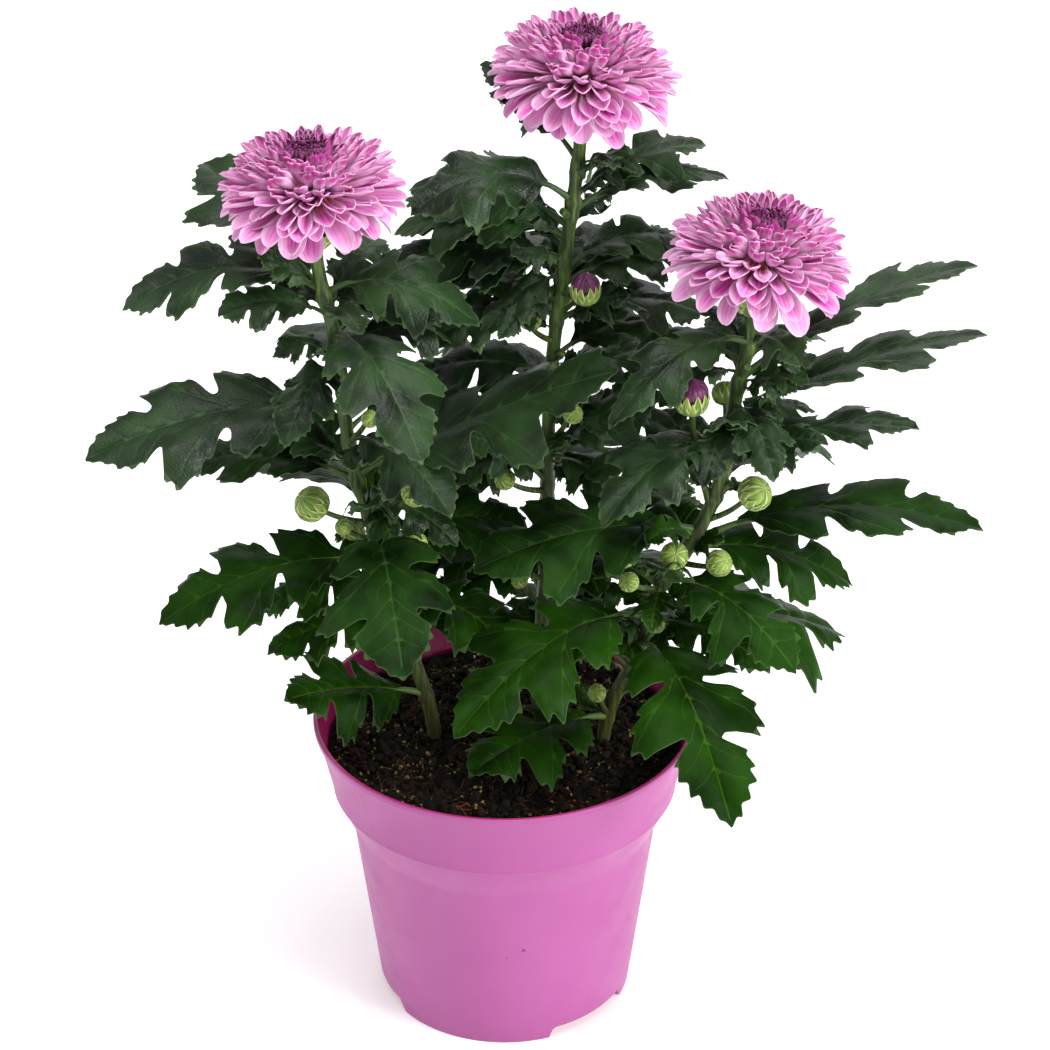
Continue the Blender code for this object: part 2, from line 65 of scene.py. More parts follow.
# Studio. The plant stands on a wide sheet of white paper, in the soft light of a large lamp overhead, one
# at the front right, and weaker ones at the left and behind. A white room fills the shadows.
def linear(code):
    """The linear colour that a shader takes, from an sRGB hex value."""
    parts = [int(code[i : i + 2], 16) / 255 for i in (1, 3, 5)]
    return (*(c / 12.92 if c <= 0.04045 else ((c + 0.055) / 1.055) ** 2.4 for c in parts), 1.0)


def feed(node, inputs):
    """Fills a node's inputs: a socket or a node's main output is linked, a hex colour or a number is set."""
    for name, value in inputs.items():
        if isinstance(value, bpy.types.Node):
            value = next(socket for socket in value.outputs if socket.enabled)
        if isinstance(value, bpy.types.NodeSocket):
            node.id_data.links.new(value, node.inputs[name])
        else:
            node.inputs[name].default_value = linear(value) if isinstance(value, str) else value


def add_node(mat, kind, inputs=(), stops=(), **settings):
    """A shader node with its settings, its inputs and the stops of its colour ramp."""
    node = mat.node_tree.nodes.new("ShaderNode" + kind)
    for name, value in settings.items():
        setattr(node, name, value)
    feed(node, dict(inputs))
    for i, (place, code) in enumerate(stops):
        point = node.color_ramp.elements[i] if i < 2 else node.color_ramp.elements.new(place)
        point.position = place
        point.color = linear(code)
    return node


def new_material(name):
    """A new material, its surface shader, and the function that adds a node to it."""
    mat = bpy.data.materials.new(name)
    mat.use_nodes = True
    return mat, mat.node_tree.nodes["Principled BSDF"], functools.partial(add_node, mat)


# Matt white paper: no gloss, nearly all the light comes back, and some comes through it from below.
paper, shader, add = new_material("matt_white_paper")
feed(shader, {"Base Color": "#F4F4F4", "Roughness": 0.9, "Specular IOR Level": 0.1})
feed(shader, {"Emission Color": "#FFFFFF", "Emission Strength": 0.3})
FLOOR_HALF = 6.0
floor_mesh = bpy.data.meshes.new("floor")
corners = [(x * FLOOR_HALF, y * FLOOR_HALF, 0.0) for x, y in ((-1, -1), (1, -1), (1, 1), (-1, 1))]
floor_mesh.from_pydata(corners, [], [(0, 1, 2, 3)])
floor_mesh.materials.append(paper)
floor = bpy.data.objects.new("floor", floor_mesh)
bpy.context.scene.collection.objects.link(floor)

# Each lamp: place, width and power in watts. All of them point at the middle of the plant.
LAMPS = {
    "lamp_overhead": ((0.1, -0.2, 1.9), 1.4, 28),
    "lamp_front_right": ((1.9, -1.1, 1.0), 1.0, 52),
    "lamp_left": ((-1.9, 0.0, 0.8), 1.2, 12),
    "lamp_behind": ((0.3, 1.8, 1.3), 1.4, 10),
}
for name, (place, width, power) in LAMPS.items():
    lamp_data = bpy.data.lights.new(name, "AREA")
    lamp_data.size = width
    lamp_data.energy = power
    lamp = bpy.data.objects.new(name, lamp_data)
    lamp.location = place
    lamp.rotation_euler = (CAMERA_TARGET - lamp.location).to_track_quat("-Z", "Y").to_euler()
    bpy.context.scene.collection.objects.link(lamp)
room = bpy.data.worlds.new("white_room")
room.use_nodes = True
feed(room.node_tree.nodes["Background"], {"Color": "#FFFFFF", "Strength": 0.34})
bpy.context.scene.world = room
bpy.context.scene.view_settings.view_transform = "Standard"


# Nursery pot. One injection moulding in pink polypropylene, 13 cm across, thin in the wall, with a rounded
# lip, a rim band, a shoulder under it, and a floor with drain holes on a foot ring with three notches.
def add_piece(name, points, faces, mat, slot, stands_for=(), sharp=40, **values):
    """A piece of the plant from points in millimetres, with named values for its points."""
    mesh = bpy.data.meshes.new(name)
    mesh.from_pydata((np.asarray(points, float) * 0.001).tolist(), [], faces)
    for key, numbers in values.items():
        field = mesh.attributes.new(key, "FLOAT", "POINT")
        field.data.foreach_set("value", np.asarray(numbers, np.float32))
    mesh.shade_smooth()
    mesh.set_sharp_from_angle(angle=math.radians(sharp))
    mesh.materials.append(mat)
    piece = bpy.data.objects.new(name, mesh)
    bpy.context.scene.collection.objects.link(piece)
    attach(piece, "root")
    if stands_for:
        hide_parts(*stands_for)


def polar(turn, radius, height):
    """The point at a turn in radians round an upright axis, at a distance from it and a height."""
    return np.array([radius * math.cos(turn), radius * math.sin(turn), height])


def rounded(outline, radius_at):
    """The outline with an arc at each corner that radius_at names by its index."""
    points = []
    for i, corner in enumerate(outline):
        if i not in radius_at:
            points.append(corner)
            continue
        here = Vector(corner)
        back = (Vector(outline[i - 1]) - here).normalized()
        on = (Vector(outline[i + 1]) - here).normalized()
        half = back.angle(on) / 2
        start = here + back * radius_at[i] / math.tan(half)
        end = here + on * radius_at[i] / math.tan(half)
        for share in (0.0, 0.25, 0.5, 0.75, 1.0):
            points.append(tuple(start.lerp(here, share).lerp(here.lerp(end, share), share)))
    return points


POT_HEIGHT, RIM_RADIUS = 108.0, 65.0
BAND_FOOT, BAND_FOOT_RADIUS = 81.5, 58.5
BODY_TOP, BODY_TOP_RADIUS = 69.0, 52.4
FOOT_RADIUS = 43.5
WALL = 1.4
FLOOR_UNDER = 4.5
POT_SIDES = 192
NOTCHES = (-46.4, 73.6, 193.6)  # headings in degrees
NOTCH_HALF = 17.5
NOTCH_HEIGHT = 4.0
NOTCH_TOP_RADIUS = FOOT_RADIUS + (BODY_TOP_RADIUS - FOOT_RADIUS) * (NOTCH_HEIGHT + 0.8) / BODY_TOP
floor_inside = FOOT_RADIUS - WALL + (BODY_TOP_RADIUS - FOOT_RADIUS) * (FLOOR_UNDER + WALL) / BODY_TOP
pot_outline = rounded(
    [
        (0.0, FLOOR_UNDER + WALL),
        (floor_inside, FLOOR_UNDER + WALL),
        (BODY_TOP_RADIUS - WALL, BODY_TOP),
        (BAND_FOOT_RADIUS - WALL, BAND_FOOT),
        (RIM_RADIUS - 1.7, POT_HEIGHT),
        (RIM_RADIUS, POT_HEIGHT),
        (RIM_RADIUS - 0.05, POT_HEIGHT - 1.9),
        (RIM_RADIUS - 1.1, POT_HEIGHT - 2.5),
        (BAND_FOOT_RADIUS + 0.25, BAND_FOOT + 1.6),
        (BAND_FOOT_RADIUS + 0.45, BAND_FOOT + 0.9),
        (BAND_FOOT_RADIUS - 0.3, BAND_FOOT + 0.1),
        (BODY_TOP_RADIUS, BODY_TOP),
        (NOTCH_TOP_RADIUS + 0.3, NOTCH_HEIGHT + 3.0),
        (NOTCH_TOP_RADIUS, NOTCH_HEIGHT + 0.8),
        (FOOT_RADIUS, 0.0),
        (FOOT_RADIUS - 1.8, 0.0),
        (FOOT_RADIUS - 2.2, FLOOR_UNDER),
        (9.4, FLOOR_UNDER),
        (9.0, 0.0),
        (0.0, 0.0),
    ],
    {
        1: 1.2, 2: 6.0, 3: 6.0, 4: 0.7, 5: 0.7, 6: 0.3, 7: 0.3, 9: 0.3, 11: 9.0, 14: 0.6, 16: 0.4,
        17: 0.4, 18: 0.4,
    },
)
mesh = bmesh.new()
corners = [mesh.verts.new((radius * 0.001, 0.0, height * 0.001)) for radius, height in pot_outline]
edges = [mesh.edges.new(pair) for pair in zip(corners, corners[1:])]
bmesh.ops.spin(
    mesh, geom=corners + edges, cent=(0, 0, 0), axis=(0, 0, 1), angle=math.tau, steps=POT_SIDES,
    use_duplicate=False,
)
bmesh.ops.remove_doubles(mesh, verts=mesh.verts, dist=1e-6)
bmesh.ops.recalc_face_normals(mesh, faces=mesh.faces)
for corner in mesh.verts:
    radius = math.hypot(corner.co.x, corner.co.y) * 1000
    if radius > FOOT_RADIUS - 3 and corner.co.z < 0.003:
        heading = math.degrees(math.atan2(corner.co.y, corner.co.x))
        for notch in NOTCHES:
            off_middle = radius * math.radians(abs((heading - notch + 180) % 360 - 180))
            share = min(1.0, max(0.0, (NOTCH_HALF - off_middle) / 2.0))
            corner.co.z += (NOTCH_HEIGHT * 0.001 - corner.co.z) * share * share * (3 - 2 * share)
pot_mesh = bpy.data.meshes.new("nursery_pot")
mesh.to_mesh(pot_mesh)
mesh.free()
pot = bpy.data.objects.new("nursery_pot", pot_mesh)
bpy.context.scene.collection.objects.link(pot)
DRAIN_RADIUS, DRAIN_RING, DRAIN_HOLES = 4.0, 27.0, 6
for k in range(DRAIN_HOLES):
    place = polar(math.tau * (k + 0.5) / DRAIN_HOLES, DRAIN_RING, FLOOR_UNDER + WALL / 2) * 0.001
    bpy.ops.mesh.primitive_cylinder_add(
        vertices=40, radius=DRAIN_RADIUS * 0.001, depth=0.008, location=tuple(place),
    )
    drill = bpy.context.object
    drilling = pot.modifiers.new("Drain hole", "BOOLEAN")
    drilling.operation = "DIFFERENCE"
    drilling.object = drill
    drilled = bpy.data.meshes.new_from_object(pot.evaluated_get(bpy.context.evaluated_depsgraph_get()))
    pot.modifiers.clear()
    pot.data = drilled
    bpy.data.objects.remove(drill)
pot.data.materials.clear()
pot.data.shade_smooth()
pot.data.set_sharp_from_angle(angle=math.radians(35))

# Polypropylene, moulded: a satin skin with the faint mottling of the melt, dull scuffs, and specks of soil
# that splashed on the rim and the foot. Painted shade: the inner wall, the lip's top and the other faces
# that don't face out are painted a deeper crimson, for their shade and the light that comes through the
# wall.
polypropylene, shader, add = new_material("moulded_polypropylene")
where = add("TexCoord").outputs["Object"]
face = add("NewGeometry")
mottle = add("TexNoise", {"Vector": where, "Scale": 28.0, "Detail": 3.0})
skin = add("ValToRGB", {"Fac": mottle}, stops=[(0.3, "#A44A8C"), (0.7, "#AA5093")])
sideways = add("VectorMath", {0: face.outputs["Position"], 1: (1000.0, 1000.0, 0.0)}, operation="MULTIPLY")
outward = add("VectorMath", {0: sideways, 1: face.outputs["Normal"]}, operation="DOT_PRODUCT")
# Painted shade: faces that don't face outwards are painted crimson for their shade and the light through the
# wall.
painted_inner_shade = add("MapRange", {"Value": outward, "From Min": 30.0, "From Max": 0.0})
skin_with_painted_inner_shade = add("Mix", {"Factor": painted_inner_shade, 6: skin, 7: "#A81C62"}, data_type="RGBA")
speck = add("TexVoronoi", {"Vector": where, "Scale": 170.0})
patch = add("TexNoise", {"Vector": where, "Scale": 35.0, "Detail": 2.0})
size = add("MapRange", {"Value": patch, "From Min": 0.57, "From Max": 0.73, "To Max": 0.14})
dirt = add("Math", {0: speck, 1: size}, operation="LESS_THAN")
soiled = add("Mix", {"Factor": dirt, 6: skin_with_painted_inner_shade, 7: "#7A2A54"}, data_type="RGBA")
scuff = add("TexNoise", {"Vector": where, "Scale": 90.0, "Detail": 6.0})
dull = add("MapRange", {"Value": scuff, "From Min": 0.35, "From Max": 0.7, "To Min": 0.36, "To Max": 0.5})
grain = add("TexNoise", {"Vector": where, "Scale": 900.0, "Detail": 2.0})
skin_bump = add("Bump", {"Height": grain, "Strength": 0.12, "Distance": 0.0002})
feed(shader, {"Base Color": soiled, "Roughness": dull, "Normal": skin_bump, "IOR": 1.49})
pot.data.materials.append(polypropylene)
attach(pot, "root")
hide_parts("pot")


# Root ball. Dark peat pressed into the pot, with a crumbly top, lumps of bark and coir, thin roots and
# fibres, and a few white grains of perlite. It is filled in by hand, so it is a little lower at the rim.
SOIL_TOP = 99.0
SOIL_EDGE = 96.4
SOIL_SIDES = 200
SOIL_RINGS = 56
EDGE_RADIUS = BAND_FOOT_RADIUS - WALL - 1.2 + (SOIL_EDGE - BAND_FOOT) * 6.5 / 26.5
SOIL_RELIEF = [(17, 1.7, 3.1), (4.2, 1.7, 7.7), (1.5, 0.8, 1.3)]  # breadth, height and seed of its heaps


def soil_height(x, y):
    """The height of the soil's crumbly top: broad heaps, lumps and crumbs."""
    share = math.hypot(x, y) / EDGE_RADIUS
    relief = sum(noise.noise(Vector((x / size, y / size, seed))) * tall for size, tall, seed in SOIL_RELIEF)
    level = SOIL_TOP - 0.6 + (SOIL_EDGE - SOIL_TOP) * share**6
    return level + relief * (1 - share**8)


points = [(0.0, 0.0, soil_height(0.0, 0.0))]
for ring in range(1, SOIL_RINGS + 1):
    radius = EDGE_RADIUS * ring / SOIL_RINGS
    for k in range(SOIL_SIDES):
        turn = math.tau * (k + 0.5 * (ring % 2)) / SOIL_SIDES
        x, y = radius * math.cos(turn), radius * math.sin(turn)
        points.append((x, y, soil_height(x, y)))
SIDE_ROWS = [
    (BAND_FOOT_RADIUS - WALL - 0.9, BAND_FOOT),
    (BODY_TOP_RADIUS - WALL - 0.9, BODY_TOP),
    (floor_inside - 1.5, FLOOR_UNDER + WALL + 0.3),
]
for radius, height in SIDE_ROWS:
    points += [polar(math.tau * k / SOIL_SIDES, radius, height) for k in range(SOIL_SIDES)]
points.append((0.0, 0.0, FLOOR_UNDER + WALL + 0.3))
faces = []
rows = SOIL_RINGS + len(SIDE_ROWS)
for k in range(SOIL_SIDES):
    following = (k + 1) % SOIL_SIDES
    faces.append((0, 1 + k, 1 + following))
    for row in range(rows - 1):
        a, b = 1 + row * SOIL_SIDES + k, 1 + row * SOIL_SIDES + following
        faces.append((a, a + SOIL_SIDES, b + SOIL_SIDES, b))
    last = 1 + (rows - 1) * SOIL_SIDES
    faces.append((last + k, len(points) - 1, last + following))

# Peat: nearly black when moist, brown where it has dried, matt and broken up to the last grain.
peat, shader, add = new_material("moist_peat")
where = add("TexCoord").outputs["Object"]
dryness = add("TexNoise", {"Vector": where, "Scale": 160.0, "Detail": 6.0, "Roughness": 0.7})
earth = add("ValToRGB", {"Fac": dryness}, stops=[(0.36, "#060403"), (0.74, "#3A2A17"), (0.56, "#150E09")])
grit = add("TexNoise", {"Vector": where, "Scale": 700.0, "Detail": 4.0})
peat_bump = add("Bump", {"Height": grit, "Strength": 0.9, "Distance": 0.0008})
feed(shader, {"Base Color": earth, "Normal": peat_bump, "Roughness": 0.92, "Specular IOR Level": 0.25})
add_piece("root_ball", points, faces, peat, "potting_soil", ["soil"])

# Peat, bark, coir and perlite: dry chips that are matt, each a little lighter or darker than the next.
# Each kind: its material, how many, smallest and largest radius, height to breadth, dark and light colour
CRUMBS = {
    "peat_crumbs": ("peat_chips", 2300, 0.35, 2.0, 0.8, "#0A0705", "#2A1D12"),
    "bark_crumbs": ("bark_chips", 2500, 0.25, 1.0, 0.75, "#2A2210", "#B8A460"),
    "coir_crumbs": ("coir_chips", 700, 0.3, 0.8, 0.55, "#2A140A", "#8E4A20"),
    "perlite_grains": ("perlite_foam", 14, 0.35, 0.6, 0.9, "#D8D4CC", "#F4F1EA"),
}
CRUMB_SPREAD = 0.985  # share of the soil's radius
FINE_BELOW = 1.1  # radius under which a crumb has fewer faces
STEM_FEET = [(-24.0, 0.0), (11.0, 19.0), (34.0, -1.0)]
STEM_CLEARANCE = 3.5
draw = random.Random(11)
ball = bmesh.new()
bmesh.ops.create_icosphere(ball, subdivisions=1, radius=1.0)
fine_points = np.array([tuple(v.co) for v in ball.verts])
fine_faces = [tuple(v.index for v in f.verts) for f in ball.faces]
bmesh.ops.subdivide_edges(ball, edges=ball.edges, cuts=1, use_grid_fill=True)
coarse_points = np.array([tuple(v.co.normalized()) for v in ball.verts])
coarse_faces = [tuple(v.index for v in f.verts) for f in ball.faces]
ball.free()


def gather(batch, points, faces, **values):
    """Adds one shape to a batch of like shapes that will be one piece."""
    start = batch.setdefault("count", 0)
    batch.setdefault("points", []).append(np.asarray(points, float))
    batch.setdefault("faces", []).extend(tuple(i + start for i in face) for face in faces)
    for key, numbers in values.items():
        batch.setdefault(key, []).append(np.broadcast_to(np.asarray(numbers, float), len(points)))
    batch["count"] = start + len(points)


def add_batch(name, batch, mat, slot, stands_for=(), sharp=40):
    """The batch as one piece."""
    points, faces, _ = np.concatenate(batch.pop("points")), batch.pop("faces"), batch.pop("count")
    values = {key: np.concatenate(parts) for key, parts in batch.items()}
    add_piece(name, points, faces, mat, slot, stands_for, sharp, **values)


for name, (stuff, count, small, large, flat, dark, light) in CRUMBS.items():
    crumb, shader, add = new_material(stuff)
    where = add("TexCoord").outputs["Object"]
    shade = add("Attribute", attribute_name="tone").outputs["Fac"]
    fleck = add("TexNoise", {"Vector": where, "Scale": 900.0, "Detail": 3.0})
    mixed = add("Math", {0: shade, 1: fleck}, operation="MULTIPLY")
    chip = add("ValToRGB", {"Fac": mixed}, stops=[(0.05, dark), (0.55, light)])
    feed(shader, {"Base Color": chip, "Roughness": 0.9, "Specular IOR Level": 0.25})
    batch = {}
    for i in range(count):
        radius = EDGE_RADIUS * math.sqrt(draw.random()) * CRUMB_SPREAD
        turn = draw.uniform(0, math.tau)
        x, y = radius * math.cos(turn), radius * math.sin(turn)
        scale = draw.uniform(small, large) * draw.uniform(0.7, 1.0)
        bare = noise.noise(Vector((x / 11, y / 11, 5.5))) < -0.08 and name != "peat_crumbs"
        by_stem = any(math.dist((x, y), stem_foot) < STEM_CLEARANCE for stem_foot in STEM_FEET)
        if bare or by_stem or radius + scale > EDGE_RADIUS:
            continue
        fine = scale <= FINE_BELOW
        ball_points, ball_faces = (fine_points, fine_faces) if fine else (coarse_points, coarse_faces)
        seed = Vector((i * 3, 0, 0))
        knobbly = np.array([1 + 0.7 * noise.noise(Vector(p) * 1.7 + seed) for p in ball_points])
        shape = ball_points * knobbly[:, None] * scale
        shape *= np.array([draw.uniform(0.8, 1.5), draw.uniform(0.5, 1.0), flat])
        roll = draw.uniform(0, math.tau)
        rolled = np.array(Matrix.Rotation(roll, 3, (draw.random(), draw.random(), 1.0)))
        place = np.array([x, y, soil_height(x, y) + scale * 0.25])
        gather(batch, shape @ rolled.T + place, ball_faces, tone=draw.random())
    add_batch(name, batch, crumb, "potting_soil", sharp=75)


def unit(rows):
    """Each row scaled to a length of one."""
    return rows / np.linalg.norm(rows, axis=1)[:, None]


def along_path(path):
    """The heading of a path at each of its points, and a sideways direction that doesn't twist."""
    headings = unit(np.gradient(path, axis=0))
    side = np.cross(headings[0], (0.0, 1.0, 0.0))
    if np.linalg.norm(side) < 0.2:
        side = np.cross(headings[0], (1.0, 0.0, 0.0))
    sides = []
    for heading in headings:
        side = side - side.dot(heading) * heading
        side = side / np.linalg.norm(side)
        sides.append(side)
    return headings, np.array(sides)


def rod(path, radii, sides, relief=1.0):
    """Points and faces of a closed rod along a path. relief scales its radius at each point of each ring."""
    path = np.asarray(path, float)
    headings, across = along_path(path)
    upright = np.cross(headings, across)
    turns = (np.arange(sides) * math.tau / sides)[None, :, None]
    ring = np.cos(turns) * across[:, None, :] + np.sin(turns) * upright[:, None, :]
    reach = np.asarray(radii, float)[:, None] * relief
    points = (path[:, None, :] + ring * reach[:, :, None]).reshape(-1, 3)
    faces = [tuple(reversed(range(sides))), tuple(range(len(points) - sides, len(points)))]
    for i in range(len(path) - 1):
        for k in range(sides):
            a, b = i * sides + k, i * sides + (k + 1) % sides
            faces.append((a, b, b + sides, a + sides))
    return points, faces


# Coir and root fibres: thin, reddish brown, lying in loose curls over the peat.
coir_fibre, shader, add = new_material("coir_fibre")
where = add("TexCoord").outputs["Object"]
ageing = add("TexNoise", {"Vector": where, "Scale": 120.0})
rust = add("ValToRGB", {"Fac": ageing}, stops=[(0.35, "#220F07"), (0.65, "#7A3E1C")])
feed(shader, {"Base Color": rust, "Roughness": 0.8})
FIBRES = 150
FIBRE_STEP = 1.1
batch = {}
for _ in range(FIBRES):
    radius = (EDGE_RADIUS - 9) * math.sqrt(draw.random())
    turn = draw.uniform(0, math.tau)
    x, y = radius * math.cos(turn), radius * math.sin(turn)
    heading = draw.uniform(0, math.tau)
    curl = draw.uniform(-0.25, 0.25)
    path = []
    for _ in range(draw.randint(6, 13)):
        path.append((x, y, soil_height(x, y) + draw.uniform(0.1, 0.9)))
        x, y = x + FIBRE_STEP * math.cos(heading), y + FIBRE_STEP * math.sin(heading)
        heading += curl + draw.uniform(-0.35, 0.35)
    if math.hypot(x, y) < EDGE_RADIUS - 1:
        thick = draw.uniform(0.1, 0.24)
        gather(batch, *rod(path, np.linspace(thick, thick * 0.5, len(path)), 4))
add_batch("coir_fibres", batch, coir_fibre, "potting_soil")


# Stalks. Each stem is one green stalk, ribbed and a little swollen at the nodes, where the leaves and the
# bud stalks leave it. It darkens and turns woody brown low down, and ends in the green cup of its bloom.
STEM_RADIUS = 2.3
STEM_FOOT = 40.0
STEMS = {
    "left": [(-24, 0, 100), (-34, 0, 140), (-43, 0, 179), (-50, 0, 209), (-53, 0, 245), (-58, 0, 272)],
    "middle": [(11, 19, 100), (14, 20, 156), (15, 20, 217), (18, 20, 254), (22, 20, 287), (24, 20, 305)],
    "right": [
        (34, -1, 100), (44, -4, 132), (51, -5, 158), (64, -5, 182),
        (71, -5, 203), (75, -5, 234), (79, -5, 254),
    ],
}
# Blooms: the middle of each, and its lean in degrees towards +X
BLOOMS = {
    "left": ((-60.0, 0.0, 299.5), -3),
    "middle": ((25.0, 20.0, 330.0), 2),
    "right": ((80.5, -5.5, 279.0), 7),
}
CUP_FLOOR = -9.3  # where the cup ends under a bloom's middle
# Leaves: height on the stem, heading in degrees from +X, reach and rise of the tip from
# the stem, arch of the midrib above the straight line, lean of the face to the front
LEAVES = {
    "left": [
        (264, 128, 68, 24, 5, 15), (267, 171, 67, -12, 12, 15), (266, -10, 51, -7, 10, 20),
        (251, -60, 59, -19, 12, 10), (225, -166, 85, -8, 8, 20), (198, 175, 60, 2, 8, 15),
        (167, -165, 76, -12, 10, 15), (179, -80, 68, -16, 12, 10), (141, -172, 46, -6, 8, 15),
        (115, -150, 53, 15, 4, 20), (151, -30, 50, -7, 10, 15), (200, -9, 86, 46, 4, 5),
        (213, -45, 49, -9, 10, 15), (245, 20, 42, -3, 8, 15), (232, 95, 62, -12, 12, -20),
        (186, 120, 66, -16, 12, -20), (150, 80, 60, -14, 12, -20),
    ],
    "middle": [
        (303, 150, 36, 26, 4, 15), (300, -30, 24, 4, 6, 15), (290, 20, 46, 12, 6, 15),
        (285, 10, 52, 8, 8, 15), (289, -160, 55, 4, 12, 20), (272, 145, 63, 2, 8, 15),
        (262, -150, 30, -14, 6, 20), (264, 20, 44, 4, 8, 10), (247, 35, 43, -3, 8, -20),
        (217, 30, 53, 5, 8, 10), (199, -20, 40, 27, 4, 30), (186, -140, 36, 31, 4, 30),
        (165, -60, 37, -6, 8, 10), (255, 100, 66, -14, 14, -20), (215, 120, 66, -14, 12, -20),
        (180, 75, 68, -16, 12, -20), (140, 110, 56, -14, 12, -20),
    ],
    "right": [
        (251, -150, 53, -17, 12, 15), (251, -60, 29, 5, 6, 15), (238, 20, 83, 27, 8, -5),
        (224, 10, 84, 23, 6, 0), (211, -5, 62, 12, 6, 10), (210, -25, 35, 13, 4, 15),
        (220, 35, 35, -4, 6, 10), (212, -140, 54, -9, 12, 15), (195, 120, 34, 17, 4, 10),
        (178, 0, 96, 4, 12, 0), (174, 15, 60, -22, 8, 15), (163, -40, 55, -14, 10, 10),
        (138, -70, 81, -22, 16, 5), (140, 33, 84, -26, 10, 15), (149, -140, 84, -13, 14, 15),
        (107, -135, 66, 7, 6, 15), (236, 70, 60, -12, 12, -20), (196, 60, 66, -18, 12, -20),
        (150, 95, 60, -16, 12, -20), (182, -168, 76, -6, 8, 15),
    ],
}
# Cut side shoots: height on the stem, heading, length
STUBS = {
    "left": [(206, -100, 7), (158, 60, 6)],
    "middle": [(283, -120, 7), (232, -40, 6)],
    "right": [(240, -75, 8), (196, -20, 7)],
}
RING_SPACING = 1.5


def smooth_path(knots, step):
    """A dense path through the knots, with no corners."""
    knots = np.asarray(knots, float)
    padded = np.vstack([2 * knots[0] - knots[1], knots, 2 * knots[-1] - knots[-2]])
    path = []
    for a, b, c, d in zip(padded, padded[1:], padded[2:], padded[3:]):
        count = max(2, round(np.linalg.norm(c - b) / step))
        for share in np.arange(count) / count:
            curve = (2 * a - 5 * b + 4 * c - d) * share**2 + (3 * b - a - 3 * c + d) * share**3
            path.append(0.5 * (2 * b + (c - a) * share + curve))
    path.append(knots[-1])
    return np.array(path)


def bloom_place(bloom):
    """The middle of a bloom, and the matrix that leans it."""
    centre, lean = BLOOMS[bloom]
    return np.array(centre), np.array(Matrix.Rotation(math.radians(lean), 3, "Y"))


def tilted(bloom, points):
    """Points of a bloom, from its own upright frame to its place on the stem."""
    centre, lean_turn = bloom_place(bloom)
    return np.asarray(points, float) @ lean_turn.T + centre


stalk_paths = {}
for stem, knots in STEMS.items():
    foot = (knots[0][0], knots[0][1], STEM_FOOT)
    top = tilted(stem, [(0, 0, CUP_FLOOR - 8.0), (0, 0, CUP_FLOOR)])
    stalk_paths[stem] = smooth_path([foot, *knots, *top], RING_SPACING)


def on_stalk(stem, height):
    """The middle of a stalk at a height."""
    path = stalk_paths[stem]
    return np.array([np.interp(height, path[:, 2], path[:, axis]) for axis in range(3)])


# Young chrysanthemum stalk: soft green skin over ribs, brushed with purplish brown, matt with fine down.
stalk_skin, shader, add = new_material("downy_green_stalk")
where = add("TexCoord").outputs["Object"]
stretched = add("Mapping", {"Vector": where, "Scale": (900.0, 900.0, 45.0)})
streak = add("TexNoise", {"Vector": stretched, "Scale": 1.0, "Detail": 4.0})
green = add("ValToRGB", {"Fac": streak}, stops=[(0.36, "#20300E"), (0.66, "#5C7A2C"), (0.5, "#3A5419")])
blush = add("TexNoise", {"Vector": where, "Scale": 60.0, "Detail": 3.0})
height = add("SeparateXYZ", {"Vector": where}).outputs["Z"]
low = add("MapRange", {"Value": height, "From Min": 0.24, "From Max": 0.1, "To Min": -0.25, "To Max": 0.12})
reddened = add("Math", {0: blush, 1: low}, operation="ADD")
brown_share = add("MapRange", {"Value": reddened, "From Min": 0.42, "From Max": 0.85, "To Max": 0.8})
skin = add("Mix", {"Factor": brown_share, 6: green, 7: "#4C3A1E"}, data_type="RGBA")
rib_bump = add("Bump", {"Height": streak, "Strength": 0.5, "Distance": 0.0003})
feed(shader, {"Base Color": skin, "Normal": rib_bump, "Roughness": 0.55})
feed(shader, {"Sheen Weight": 0.08, "Sheen Roughness": 0.4})

STALK_SIDES = 20
STALK_RIBS = 5
NODE_SWELLING = 0.45
CUP_SWELLING = 3.6
for stem, path in stalk_paths.items():
    heights = path[:, 2]
    radii = STEM_RADIUS * np.interp(heights, [60, 200, 330], [1.05, 0.98, 0.88])
    for row in LEAVES[stem]:
        radii = radii + NODE_SWELLING * np.exp(-(((heights - row[0] + 1.0) / 1.8) ** 2))
    below_bloom = tilted(stem, [(0, 0, CUP_FLOOR)])[0][2] - heights
    radii = radii + CUP_SWELLING * np.exp(-((below_bloom / 5.0) ** 2))
    turns = np.arange(STALK_SIDES) * math.tau / STALK_SIDES
    ribs = 1 + 0.055 * np.cos(STALK_RIBS * turns[None, :] + heights[:, None] * 0.012)
    batch = {}
    gather(batch, *rod(path, radii, STALK_SIDES, ribs))
    for height, heading, length in STUBS[stem]:
        out = polar(math.radians(heading), 0.75, 0.66)
        foot = on_stalk(stem, height)
        stub = [foot + out * length * share for share in (0.0, 0.3, 0.6, 0.95, 1.0)]
        gather(batch, *rod(stub, [1.9, 1.6, 1.35, 1.3, 1.0], 12))
    add_batch(f"stalk_{stem}", batch, stalk_skin, "foliage", [f"stem_{stem}"], sharp=50)


# Leaves. Each blade is one thin leaf with two pairs of lobes and a long end lobe, coarse teeth, sunken
# veins and a raised midrib under it. It hangs on a petiole that leaves the stalk at a node.
PETIOLE_SHARE = 0.16
BLADE_THICKNESS = 0.35
BLUNT_BELOW = 0.7  # share of young leaf under which the teeth are worn down
SMALL_LEAF = 24.0  # length up to which a leaf keeps the straight runs of its outline
OUTLINE_SPREAD = 0.004
